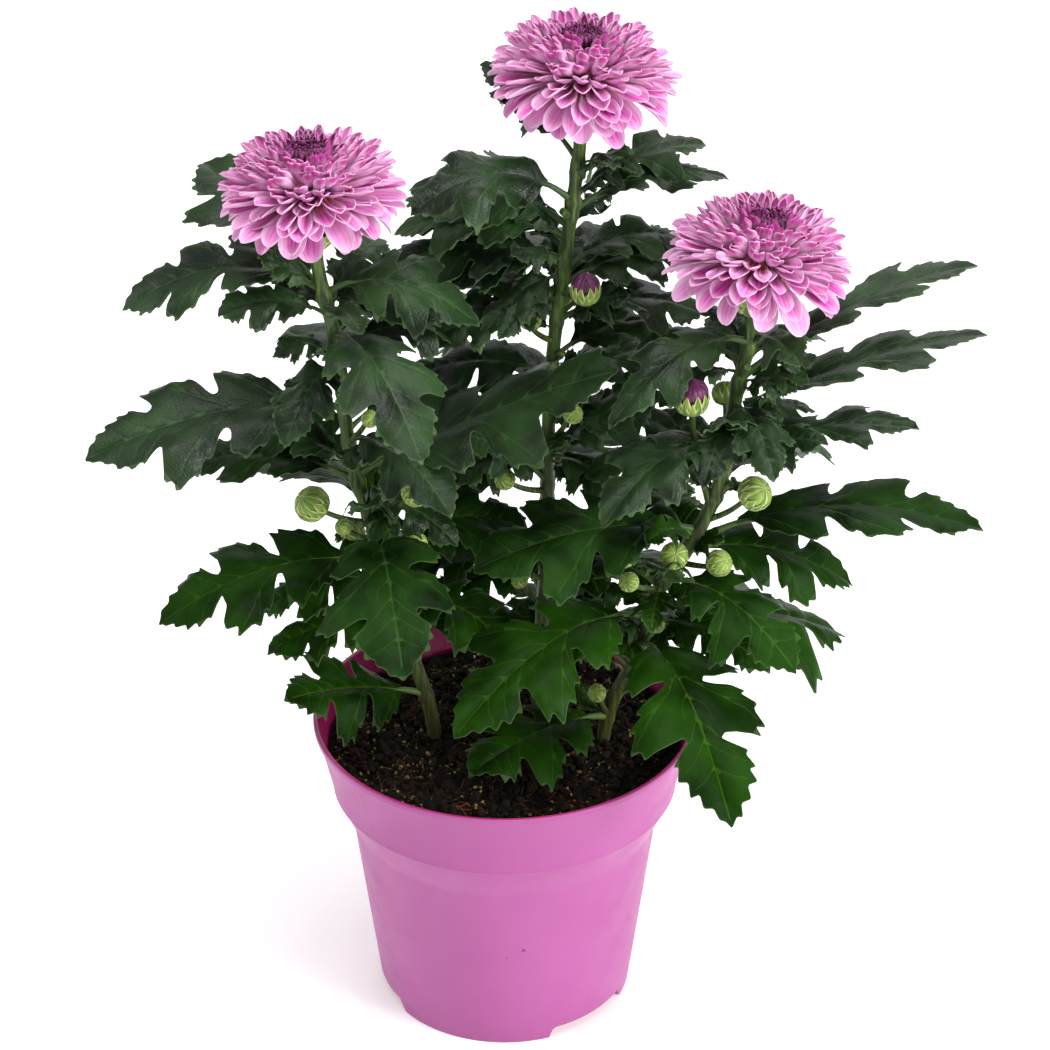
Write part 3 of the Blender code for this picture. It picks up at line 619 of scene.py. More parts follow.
# One half of the blade's outline, from its foot round two lobes and the end lobe to its tip, in shares of
# the blade's length: along the midrib, and out from it
HALF_OUTLINE = [
    (0.000, 0.028), (0.045, 0.045), (0.085, 0.085), (0.112, 0.150), (0.150, 0.220), (0.180, 0.206),
    (0.230, 0.290), (0.256, 0.266), (0.335, 0.352), (0.345, 0.304), (0.390, 0.316), (0.384, 0.262),
    (0.374, 0.208), (0.374, 0.168), (0.394, 0.150), (0.420, 0.186), (0.450, 0.250), (0.482, 0.310),
    (0.506, 0.288), (0.556, 0.376), (0.580, 0.346), (0.668, 0.404), (0.668, 0.344), (0.712, 0.350),
    (0.696, 0.286), (0.680, 0.228), (0.672, 0.172), (0.690, 0.146), (0.718, 0.168), (0.762, 0.226),
    (0.774, 0.192), (0.826, 0.216), (0.830, 0.168), (0.880, 0.176), (0.880, 0.124), (0.926, 0.118),
    (0.930, 0.074), (0.966, 0.060), (0.976, 0.030),
]
# Veins of one half, each from its start on the midrib or on another vein to its end, and its half width
# in millimetres
HALF_VEINS = [
    ([(0.07, 0.0), (0.15, 0.10), (0.24, 0.22), (0.322, 0.330)], 0.05),
    ([(0.11, 0.05), (0.13, 0.12), (0.146, 0.198)], 0.0),
    ([(0.18, 0.14), (0.205, 0.21), (0.226, 0.270)], 0.0),
    ([(0.32, 0.0), (0.44, 0.12), (0.56, 0.27), (0.652, 0.384)], 0.05),
    ([(0.40, 0.08), (0.44, 0.18), (0.476, 0.290)], 0.0),
    ([(0.50, 0.195), (0.53, 0.28), (0.552, 0.356)], 0.0),
    ([(0.58, 0.0), (0.68, 0.10), (0.752, 0.206)], 0.03),
    ([(0.69, 0.0), (0.77, 0.10), (0.816, 0.198)], 0.0),
    ([(0.80, 0.0), (0.845, 0.08), (0.870, 0.160)], 0.0),
    ([(0.20, 0.0), (0.27, 0.06), (0.34, 0.10)], 0.0),
    ([(0.46, 0.0), (0.54, 0.07), (0.63, 0.10)], 0.0),
]
MIDRIB_HALF = 0.26
MESH_STEP = 2.6  # millimetres between the points inside a blade
SINUSES = [(0.382, 0.158), (0.680, 0.156)]


def rounded_once(loop, share):
    """A closed loop with each corner cut at a share of its sides."""
    loop = np.asarray(loop)
    following = np.roll(loop, -1, axis=0)
    cuts = [loop * (1 - share) + following * share, loop * share + following * (1 - share)]
    return np.stack(cuts, axis=1).reshape(-1, 2)


def distance_to(points, starts, ends):
    """The distance from each point to the nearest of some straight runs."""
    runs = ends - starts
    offsets = points[:, None, :] - starts[None]
    share = np.clip((offsets * runs).sum(2) / np.maximum((runs**2).sum(1), 1e-12), 0, 1)
    return np.linalg.norm(offsets - share[:, :, None] * runs, axis=2)


def inside(points, loop):
    """Whether each point lies in a closed loop."""
    ends = np.roll(loop, -1, axis=0)
    x, y = points[:, :1], points[:, 1:]
    crosses = (loop[:, 1] > y) != (ends[:, 1] > y)
    run, rise = (ends - loop).T
    rise = np.where(np.abs(rise) < 1e-12, 1e-12, rise)
    return (crosses & (x < loop[:, 0] + (y - loop[:, 1]) / rise * run)).sum(1) % 2 == 1


def vein_distance(points, veins):
    """The distance from each point of a flat leaf to its nearest vein."""
    return np.min([distance_to(points, route[:-1], route[1:]).min(1) for route, _ in veins], axis=0)


def flat_leaf(draw, length, cut, blunt):
    """A leaf's blade laid flat: its points and faces, and how far each point is from a vein, the midrib and
    the edge.

    cut deepens the bays between the lobes, and blunt says that the teeth are worn down.
    """
    step = min(0.12, max(0.038, MESH_STEP / length))
    sides = []
    veins = [(np.array([(0.0, 0.0), (0.25, 0.0), (0.5, 0.0), (0.75, 0.0), (0.97, 0.0)]), MIDRIB_HALF)]
    for sign in (1, -1):
        lobe_reach = [draw.uniform(0.76, 1.0), draw.uniform(0.86, 1.1), draw.uniform(0.9, 1.15)]
        forward = draw.uniform(-0.025, 0.025)

        def vary(along, out):
            reach = np.interp(along, [0.0, 0.3, 0.42, 0.65, 0.75, 0.9], [1.0, *np.repeat(lobe_reach, 2)[:5]])
            near = max(0.0, 1 - min(math.dist((along, out), sinus) for sinus in SINUSES) / 0.11)
            return along + forward * math.sin(math.pi * along), sign * (out * reach - cut * near)

        sides.append([
            vary(along + draw.gauss(0, OUTLINE_SPREAD), out + draw.gauss(0, OUTLINE_SPREAD))
            for along, out in HALF_OUTLINE
        ])
        for route, half in HALF_VEINS:
            veins.append((np.array([vary(along, out * (1 - 0.06 * blunt)) for along, out in route]), half))
    loop = np.array([*sides[0], (1.0, 0.0), *reversed(sides[1])])
    if length > SMALL_LEAF:
        loop = rounded_once(loop, 0.25 if blunt else 0.14)
    ends = np.roll(loop, -1, axis=0)
    points = [tuple(p) for p in loop]
    edges = [(i, (i + 1) % len(loop)) for i in range(len(loop))]
    for route, _ in veins:
        previous = None
        for a, b in zip(route, route[1:]):
            pieces = max(1, round(np.linalg.norm(b - a) / (step * 0.8)))
            for i in range(pieces + (b is route[-1])):
                points.append(tuple(a + (b - a) * i / pieces))
                if previous is not None:
                    edges.append((previous, len(points) - 1))
                previous = len(points) - 1
    half_rows = round(0.48 / step)
    grid = np.array([
        (column * step + (row % 2) * step / 2, (row - half_rows) * step * 0.866)
        for row in range(2 * half_rows + 1) for column in range(round(1 / step) + 1)
    ])
    grid = grid[inside(grid, loop)]
    taken = np.array(points)
    near = np.linalg.norm(grid[:, None] - taken[None], axis=2).min(1)
    points += [tuple(p) for p in grid[near > step * 0.5]]
    for _ in range(2):
        made = geometry.delaunay_2d_cdt([Vector(p) for p in points], edges, [], 1, 1e-5)
        flat = np.array([tuple(p) for p in made[0]])
        off_vein = vein_distance(flat, veins)
        bridges = {
            tuple(sorted(pair)) for face in made[2] for pair in zip(face, (*face[1:], face[0]))
            if max(off_vein[list(pair)]) < 0.004
        }
        middles = np.array([(flat[a] + flat[b]) / 2 for a, b in bridges])
        points += [tuple(p) for p in middles[vein_distance(middles, veins) > 0.010]]
    made = geometry.delaunay_2d_cdt([Vector(p) for p in points], edges, [], 1, 1e-5)
    flat = np.array([tuple(p) for p in made[0]])
    faces = []
    for face in made[2]:
        corners = flat[list(face)]
        area = np.cross(corners[1] - corners[0], corners[2] - corners[0])
        if abs(area) > 1e-8:
            faces.append(tuple(face) if area < 0 else tuple(reversed(face)))
    vein = np.min([vein_distance(flat, [pair]) * length - pair[1] for pair in veins], axis=0)
    rib = np.abs(flat[:, 1]) * length
    edge = distance_to(flat, loop, ends).min(1) * length
    return flat, faces, vein, rib, edge


def closed_shell(faces, count):
    """Faces of a thin closed blade: its upper face, the same face under it, and its rim."""
    closed = list(faces) + [tuple(i + count for i in reversed(face)) for face in faces]
    borders = {(a, b) for face in faces for a, b in zip(face, (*face[1:], face[0]))}
    for a, b in sorted(borders):
        if (b, a) not in borders:
            closed.append((b, a, a + count, b + count))
    return closed


def bow(start, bend, end, share):
    """Points on a bow from start to end, and the headings there."""
    share = np.asarray(share, float)[:, None]
    places = start * (1 - share) ** 2 + bend * 2 * share * (1 - share) + end * share**2
    return places, unit((bend - start) * (1 - share) + (end - bend) * share)


def grow_leaf(batch, petioles, draw, start, reach_out, arch, lean, tone, slim=1.0):
    """One leaf on its petiole, from the middle of the stalk."""
    end = start + reach_out
    bend = start + (end - start) * 0.45 + np.array([0.0, 0.0, 2 * arch])
    lean = math.radians(lean)
    side = np.cross(end - start, (0.0, -math.sin(lean), math.cos(lean)))
    side /= np.linalg.norm(side)
    length = np.linalg.norm(end - start) * (1 - PETIOLE_SHARE)
    cut = 0.02 + 0.035 * tone + draw.uniform(-0.03, 0.02)
    flat, faces, vein, rib, edge = flat_leaf(draw, length, cut, tone < BLUNT_BELOW)
    flat[:, 1] *= slim
    along, out = flat[:, 0], flat[:, 1]
    places, headings = bow(start, bend, end, PETIOLE_SHARE + (1 - PETIOLE_SHARE) * along)
    normals = unit(np.cross(side, headings))
    sink = (0.22 * np.abs(out) - 1.1 * out**2) * length
    groove = -0.55 * np.exp(-((rib / 1.1) ** 2)) - 0.3 * np.exp(-((np.maximum(vein, 0) / 0.9) ** 2))
    swell = 0.8 * (1 - np.exp(-((np.maximum(vein, 0) / 3.5) ** 2)))
    curl = -0.9 * np.exp(-edge / 1.6) * (0.4 + np.abs(out) * 3)
    seed = Vector((draw.uniform(0, 90), draw.uniform(0, 90), 0.0))
    wave = np.array([noise.noise(seed + Vector((a * 2.8, b * 4.0, 0.0))) for a, b in flat])
    ruffle = np.array([noise.noise(seed + Vector((a * 8.0, b * 11.0, 4.0))) for a, b in flat])
    wave = wave * 4.4 * np.minimum(1.0, np.abs(out) * 6) + ruffle * 1.1 * np.minimum(1.0, np.abs(out) * 4)
    twist = draw.uniform(-0.12, 0.12) * along * out * length
    lift = sink + groove + swell + curl + wave + twist
    middle = places + side * (out * length)[:, None] + normals * lift[:, None]
    half = BLADE_THICKNESS / 2 + 0.12 * np.exp(-((np.maximum(vein, 0) / 0.6) ** 2))
    shell = np.vstack([middle + normals * half[:, None], middle - normals * half[:, None]])
    under = np.repeat([0.0, 1.0], len(flat))
    gather(
        batch, shell, closed_shell(faces, len(flat)), under=under, tone=tone,
        vein=np.tile(vein, 2), edge=np.tile(edge, 2),
    )
    share = np.array([0.0, 0.04, 0.08, 0.12, PETIOLE_SHARE, 0.22, 0.32, 0.45, 0.6, 0.75, 0.92])
    spine, headings = bow(start, bend, end, share)
    normals = unit(np.cross(side, headings))
    radii = np.interp(share, [0.0, 0.08, PETIOLE_SHARE, 0.3, 1.0], [1.5, 1.1, 0.95, 0.62, 0.2])
    radii = radii * min(1.0, length / 45)
    below = np.interp(share, [0.0, PETIOLE_SHARE, 0.22, 1.0], [0.0, 0.25, 0.75, 0.75])
    spine = spine - normals * (below + radii * np.where(share > PETIOLE_SHARE, 0.45, 0.0))[:, None]
    gather(petioles, *rod(spine, radii, 8), tone=tone)


# Chrysanthemum leaf: thick and leathery. The upper leaves are blue green and dulled by down, the lower ones
# a deep fresh green. Their low specular level and lack of sheen are painted shade, for the shade that they
# get under the upper leaves. Both are paler under, with a pale midrib and a fine net between the veins.
# Each finish: name of the material, specular level, weight of the down's sheen
# Painted shade: the lower finish reflects less, to stand in for the shade under the upper leaves.
LEAF_FINISHES = {"upper": ("downy_leathery_leaf", 0.28, 0.02), "lower": ("leathery_leaf_with_painted_shade", 0.06, 0.0)}
NET_CELL = 1.3  # millimetres between the fine veins
leaf_skins = {}
for layer, (finish, specular, sheen) in LEAF_FINISHES.items():
    leaf_skin, shader, add = new_material(finish)
    where = add("TexCoord").outputs["Object"]
    tone, vein, edge, under = (
        add("Attribute", attribute_name=key).outputs["Fac"] for key in ("tone", "vein", "edge", "under")
    )
    cloud = add("TexNoise", {"Vector": where, "Scale": 55.0, "Detail": 4.0})
    old_leaf = add("ValToRGB", {"Fac": cloud}, stops=[(0.33, "#071407"), (0.7, "#26421C")])
    young_leaf = add("ValToRGB", {"Fac": cloud}, stops=[(0.35, "#0D2402"), (0.68, "#1E4405")])
    upper = add("Mix", {"Factor": tone, 6: old_leaf, 7: young_leaf}, data_type="RGBA")
    vein_green = add("Mix", {"Factor": tone, 6: "#45623E", 7: "#4A6E1E"}, data_type="RGBA")
    near_vein = add("MapRange", {"Value": vein, "From Min": 0.18, "From Max": -0.1, "To Max": 0.36})
    veined = add("Mix", {"Factor": near_vein, 6: upper, 7: vein_green}, data_type="RGBA")
    # Painted light: a paler rim along the edge stands in for the light that comes through the thin margin.
    painted_edge_light = add("MapRange", {"Value": edge, "From Min": 0.3, "From Max": 0.0, "To Max": 0.25})
    veined_with_painted_edge_light = add("Mix", {"Factor": painted_edge_light, 6: veined, 7: "#5E7A4A"}, data_type="RGBA")
    down = add("Mix", {"Factor": 0.6, 6: veined_with_painted_edge_light, 7: "#4E6A3E"}, data_type="RGBA")
    leaf_colour = add("Mix", {"Factor": under, 6: veined_with_painted_edge_light, 7: down}, data_type="RGBA")
    net = add("TexVoronoi", {"Vector": where, "Scale": 1000.0 / NET_CELL}, feature="DISTANCE_TO_EDGE")
    net_height = add("MapRange", {"Value": net, "From Max": 0.25, "To Max": 0.5})
    vein_height = add("MapRange", {"Value": vein, "From Min": -0.1, "From Max": 0.7})
    quilting = add("Math", {0: net_height, 1: vein_height}, operation="ADD")
    leaf_bump = add("Bump", {"Height": quilting, "Strength": 0.28, "Distance": 0.0004})
    gloss = add(
        "MapRange", {"Value": cloud, "From Min": 0.3, "From Max": 0.7, "To Min": 0.36, "To Max": 0.5},
    )
    feed(shader, {"Base Color": leaf_colour, "Roughness": gloss, "Normal": leaf_bump})
    feed(shader, {"Specular IOR Level": specular, "Sheen Weight": sheen})
    feed(shader, {"Sheen Roughness": 0.45, "Sheen Tint": "#C8D8CC"})
    leaf_skins[layer] = leaf_skin

# Petiole: the same skin as the stalk, but lighter and smoother, a channelled rod as thick as a match.
petiole_skin, shader, add = new_material("pale_green_petiole")
tone = add("Attribute", attribute_name="tone").outputs["Fac"]
petiole_green = add("Mix", {"Factor": tone, 6: "#33501E", 7: "#577A2C"}, data_type="RGBA")
feed(shader, {"Base Color": petiole_green, "Roughness": 0.5, "Sheen Weight": 0.15})

# Shorter leaves that fill the inside of the plant, in the same terms as the others
INNER_LEAVES = {
    "left": [
        (256, 60, 40, -6, 8, 15), (240, -120, 34, -14, 8, 15), (172, 10, 50, 4, 8, 15),
        (216, 30, 44, 2, 8, 10), (137, 20, 44, -4, 8, 15), (258, -172, 36, 3, 6, 15),
        (242, -170, 22, 4, 6, 15), (262, 60, 34, 10, 5, 10), (188, -60, 24, -8, 5, 15),
        (128, 100, 58, -6, 10, -15), (192, -20, 34, -12, 6, 15), (252, 30, 46, 2, 8, 5),
        (184, 60, 40, -6, 8, 10), (204, 160, 40, 4, 6, 10), (158, -178, 44, -10, 8, 15),
    ],
    "middle": [
        (280, 155, 58, 2, 8, 10), (266, -175, 40, -8, 8, 15), (276, 168, 58, -4, 8, 10),
        (250, -165, 44, -8, 8, 15), (246, 5, 50, 0, 8, 5), (232, 25, 46, 2, 8, 5),
        (313, -165, 26, 14, 2, 15), (258, 15, 46, 4, 8, 10), (268, 172, 62, -8, 8, 10),
        (196, -30, 34, -10, 6, 15),
        (118, 80, 56, -4, 10, -15), (160, 150, 50, -6, 10, -15), (258, 60, 46, 0, 8, -10),
        (246, 130, 48, 0, 8, -10), (226, 170, 52, -8, 8, 10), (254, -135, 28, -4, 5, 15),
        (196, -160, 34, -4, 6, 15), (194, -40, 24, -6, 4, 15), (208, -10, 44, 0, 8, 10),
        (190, 180, 54, -6, 8, 10), (158, -170, 50, -4, 8, 15), (143, -60, 40, 2, 8, 15),
        (148, -160, 44, -2, 8, 15),
    ],
    "right": [
        (243, 150, 40, -6, 8, 10), (228, -70, 34, -10, 8, 15), (222, -110, 30, -8, 6, 15),
        (236, 5, 26, 9, 5, 15), (240, -165, 28, -8, 6, 15), (160, -100, 22, -4, 4, 15),
        (204, 170, 46, -6, 8, 10), (142, -160, 30, -4, 5, 15), (176, 110, 44, -2, 8, 10),
        (160, 160, 46, 2, 8, 10), (146, -20, 44, -10, 8, 15), (128, 170, 40, 4, 8, 15),
        (122, 70, 58, -6, 10, -15),
    ],
}
# Leaves that are made narrower: stem, height and heading, share of the width
SLIM = {
    ("left", 225, -166): 0.78, ("left", 167, -165): 0.95, ("left", 267, 171): 0.72,
    ("left", 198, 175): 0.75, ("middle", 290, 20): 0.85, ("middle", 303, 150): 0.6,
    ("middle", 285, 10): 0.65, ("right", 238, 20): 0.46, ("right", 224, 10): 0.6,
    ("right", 211, -5): 0.62, ("right", 178, 0): 0.7, ("right", 138, -70): 0.9,
    ("right", 149, -140): 0.85, ("right", 251, -150): 0.72,
}
FRESH_BELOW = 184.0  # height of the highest leaf with the lower finish
YOUNG_BELOW, OLD_ABOVE = 150.0, 215.0  # heights between which the leaves turn from fresh green to dark
draw = random.Random(29)
for stem, rows in LEAVES.items():
    blades, petioles = {"upper": {}, "lower": {}}, {}
    for height, heading, reach, rise, arch, lean in rows + INNER_LEAVES[stem]:
        layer = "upper" if height > FRESH_BELOW else "lower"
        reach_out = polar(math.radians(heading), reach, rise)
        youth = max(0.0, (OLD_ABOVE - height) / (OLD_ABOVE - YOUNG_BELOW))
        tone = min(1.0, youth + draw.uniform(-0.15, 0.2))
        slim = SLIM.get((stem, height, heading), 1.0)
        grow_leaf(blades[layer], petioles, draw, on_stalk(stem, height), reach_out, arch, lean, tone, slim)
    for height, heading, *_ in rows + INNER_LEAVES[stem]:
        layer = "upper" if height > FRESH_BELOW else "lower"
        for _ in range(draw.choice((0, 1, 1))):
            turn = math.radians(heading + draw.choice((-1, 1)) * draw.uniform(15, 55))
            reach_out = polar(turn, draw.uniform(13, 26), draw.uniform(2, 18))
            tone = min(1.0, max(0.0, (OLD_ABOVE + 20 - height) / (OLD_ABOVE - YOUNG_BELOW)))
            foot = on_stalk(stem, height - draw.uniform(0, 6))
            grow_leaf(blades[layer], petioles, draw, foot, reach_out, draw.uniform(2, 5), 15, tone)
    for layer, blade in blades.items():
        add_batch(f"{layer}_leaves_{stem}", blade, leaf_skins[layer], "foliage", [f"stem_{stem}"], sharp=60)
    add_batch(f"petioles_{stem}", petioles, petiole_skin, "foliage", [f"stem_{stem}"], sharp=60)


# Blooms. Each head is a pithy receptacle with some three hundred ray florets, packed by the golden
# angle. Every floret is a thin tube at its root that opens into a spoon. The outer ones droop, those at the
# side reach straight out, and those round the eye stand up and curl in.
BLOOM_RADIUS = 30.5
BLOOM_HALF_HEIGHT = 21.5
FLORETS = 325
GOLDEN_ANGLE = math.radians(137.508)
FLORET_THICKNESS = 0.34
RIDGE_SHARE = 0.012  # height of a floret's ridges, to its width
# Widths along a floret and along a bract, in shares of its full width, before the tip is rounded off
FLORET_SHAPE = [(0.0, 0.42), (0.25, 0.5), (0.55, 0.86), (0.8, 1.0)]
BRACT_SHAPE = [(0.0, 0.6), (0.3, 1.0), (0.55, 0.9), (0.85, 0.4), (1.0, 0.15)]


def blade_grid(rows, columns):
    """Faces of a grid of points, one row after another along a floret."""
    faces = []
    for row in range(rows - 1):
        for column in range(columns - 1):
            a = row * columns + column
            faces.append((a, a + 1, a + columns + 1, a + columns))
    return faces


def level_axes(heading):
    """The outward, sideways and upward direction at a heading in radians."""
    outward = polar(heading, 1.0, 0.0)
    return np.array([outward, (outward[1], -outward[0], 0.0), (0.0, 0.0, 1.0)])


def ray_floret(batch, axes, origin, plan, width, rolls, thickness, age, tone, shape, rows=7, columns=5):
    """A ray floret.

    axes are its outward, sideways and upward direction. plan gives the root, the bend and the tip as
    (outward, upward). rolls are half angles of its cross section at the root, in the middle and at the
    tip. rows and columns are the numbers of points along it and across it.
    """
    outward, sideways, upward = axes
    along = 1 - (1 - np.linspace(0.0, 1.0, rows)) ** 1.6
    spine, headings = bow(*(np.array(p, float) for p in plan), along)
    normals = np.stack([-headings[:, 1], headings[:, 0]], axis=1)
    opened = np.interp(along, *zip(*shape))
    rounding = 0.62 + 0.2 * max(0.0, 1 - age / 0.55)
    taper = np.clip((along - rounding) / (1 - rounding), 0, 1)
    outline = opened * np.sqrt(np.maximum(0.0, 1 - taper**1.9)) * (1 - 0.1 * taper) + 0.03
    half_width = width / 2 * outline
    at_root, halfway, at_tip = rolls
    roll = np.radians(np.interp(along, [0.0, 0.35, 0.7, 1.0], [at_root, halfway * 1.25, halfway, at_tip]))
    across = np.linspace(-1.0, 1.0, columns)
    reach = np.where(roll < math.pi / 2, np.sin(np.minimum(roll, math.pi / 2)), 1.0)
    radius = (half_width / reach)[:, None]
    turn = across[None, :] * roll[:, None]
    aside = radius * np.sin(turn)
    raised = radius * (1 - np.cos(turn))
    ridge = RIDGE_SHARE * width * np.cos(across * math.pi * 3) * np.sin(along * math.pi)[:, None]
    flat = spine[:, None, :] + normals[:, None, :] * (raised + ridge)[:, :, None]
    middle = origin + flat[:, :, :1] * outward + flat[:, :, 1:] * upward + aside[:, :, None] * sideways
    middle = middle.reshape(-1, 3)
    lifted = normals[:, None, :1] * outward + normals[:, None, 1:] * upward
    inward = np.cos(turn)[:, :, None] * lifted - np.sin(turn)[:, :, None] * sideways
    inward = inward.reshape(-1, 3)
    half = thickness / 2 * np.repeat(1 - 0.45 * along**3, columns)[:, None]
    shell = np.vstack([middle + inward * half, middle - inward * half])
    faces = blade_grid(rows, columns)
    count = rows * columns
    gather(
        batch, shell, closed_shell(faces, count), age=age, tone=tone,
        along=np.tile(np.repeat(along, columns), 2), across=np.tile(np.abs(across), rows * 2),
        reverse=np.repeat([0.0, 1.0], count),
    )


# Floret: thin, soft and a little see-through. Its upper side is deep pink with near white rims and a warm
# orange throat, partly its own colour and partly painted light, for the warm light deep between the florets.
# Its back is pale pink with fine stripes, and turns magenta at the tip near the eye.
floret_skin, shader, add = new_material("soft_pink_floret")
where = add("TexCoord").outputs["Object"]
along, across, reverse, age, tone = (
    add("Attribute", attribute_name=key).outputs["Fac"]
    for key in ("along", "across", "reverse", "age", "tone")
)
flecks = add("TexNoise", {"Vector": where, "Scale": 420.0, "Detail": 3.0})
ragged = add("Math", {0: flecks, 1: 0.3, 2: across}, operation="MULTIPLY_ADD")
edge_share = add(
    "MapRange",
    {"Value": ragged, "From Min": 0.4, "From Max": 1.15, "To Max": 0.75},
    interpolation_type="SMOOTHSTEP",
)
tip_share = add(
    "MapRange",
    {"Value": along, "From Min": 0.75, "From Max": 1.0, "To Max": 0.5},
    interpolation_type="SMOOTHSTEP",
)
pale_share = add("Math", {0: edge_share, 1: tip_share}, operation="MAXIMUM")
stripes = add("Math", {0: across, 1: 19.0, 2: flecks}, operation="MULTIPLY_ADD")
stripe_wave = add("Math", {0: stripes}, operation="SINE")
face_share = add("Math", {0: stripe_wave, 1: 0.22, 2: tone}, operation="MULTIPLY_ADD")
middle_pink = add("Mix", {"Factor": face_share, 6: "#E052BC", 7: "#FCB2E8"}, data_type="RGBA")
face_pink = add("Mix", {"Factor": pale_share, 6: middle_pink, 7: "#FDE4F8"}, data_type="RGBA")
# Painted light, in part: the pale, warm throat also stands in for the warm light between the florets.
throat_and_painted_light_share = add("MapRange", {"Value": along, "From Min": 0.52, "From Max": 0.18})
throat_and_painted_light = add("ValToRGB", {"Fac": throat_and_painted_light_share}, stops=[(0.0, "#F8C4CC"), (0.8, "#E49A6C")])
upper_side = add("Mix", {"Factor": throat_and_painted_light_share, 6: face_pink, 7: throat_and_painted_light}, data_type="RGBA")
stripe_share = add(
    "MapRange", {"Value": stripe_wave, "From Min": -1.0, "From Max": 1.0, "To Min": 0.1, "To Max": 0.45},
)
back_pink = add("Mix", {"Factor": stripe_share, 6: "#FDE2F6", 7: "#F29ADE"}, data_type="RGBA")
young = add("MapRange", {"Value": age, "From Min": 0.72, "From Max": 0.3, "To Min": 0.12, "To Max": 1.0})
blush_share = add(
    "MapRange",
    {"Value": along, "From Min": 0.7, "From Max": 0.92, "To Max": 0.95},
    interpolation_type="SMOOTHSTEP",
)
tip_middle = add(
    "MapRange", {"Value": across, "From Min": 0.95, "From Max": 0.5, "To Min": 0.25, "To Max": 1.0},
)
blush_tip = add("Math", {0: tip_middle, 1: blush_share}, operation="MULTIPLY")
blush = add("Math", {0: young, 1: blush_tip}, operation="MULTIPLY")
back_side = add("Mix", {"Factor": blush, 6: back_pink, 7: "#C03496"}, data_type="RGBA")
face_blush = add("Math", {0: blush, 1: 0.55}, operation="MULTIPLY")
blushed_face = add("Mix", {"Factor": face_blush, 6: upper_side, 7: "#C03496"}, data_type="RGBA")
sides = add("Mix", {"Factor": reverse, 6: blushed_face, 7: back_side}, data_type="RGBA")
heart = add("MapRange", {"Value": age, "From Min": 0.13, "From Max": 0.0, "To Max": 0.8})
petal_colour = add("Mix", {"Factor": heart, 6: sides, 7: "#A82C86"}, data_type="RGBA")
floret_bump = add("Bump", {"Height": stripe_wave, "Strength": 0.25, "Distance": 0.0001})
feed(shader, {"Base Color": petal_colour, "Normal": floret_bump})
feed(shader, {"Roughness": 0.55, "Specular IOR Level": 0.3})
see_through = add("BsdfTranslucent", {"Color": petal_colour})
LIGHT_THROUGH = 0.14  # share of the light that comes through a floret
petal = add("MixShader", {0: LIGHT_THROUGH, 1: shader, 2: see_through})
feed(floret_skin.node_tree.nodes["Material Output"], {"Surface": petal})

# Receptacle: the pithy body that the florets grow from, in the dark between them. Its pink is painted light,
# for the warm light that fills the gaps between the florets.
receptacle_skin, shader, add = new_material("receptacle_pith")
where = add("TexCoord").outputs["Object"]
pith = add("TexNoise", {"Vector": where, "Scale": 400.0, "Detail": 3.0})
# Painted light: the pale pink and peach stand in for warm light in the gaps.
painted_light_pink = add("ValToRGB", {"Fac": pith}, stops=[(0.35, "#E08CB0"), (0.65, "#F4B494")])
feed(shader, {"Base Color": painted_light_pink, "Roughness": 0.8})


def turned(profile, sides):
    """Points and faces of a body turned round Z, from (radius, height) pairs that end on the axis."""
    points = [(0.0, 0.0, profile[0][1])]
    for radius, height in profile[1:-1]:
        points += [polar(math.tau * k / sides, radius, height) for k in range(sides)]
    points.append((0.0, 0.0, profile[-1][1]))
    faces = []
    last = len(points) - 1
    for k in range(sides):
        following = (k + 1) % sides
        faces.append((0, 1 + following, 1 + k))
        for row in range(len(profile) - 3):
            a, b = 1 + row * sides + k, 1 + row * sides + following
            faces.append((a, b, b + sides, a + sides))
        faces.append((last - sides + k, last - sides + following, last))
    return points, faces


RECEPTACLE = [
    (0.0, -9.2), (6.0, -9.0), (10.0, -7.0), (12.3, -2.5), (12.3, 3.0), (10.5, 8.5), (7.2, 12.6), (0.0, 13.2),
]
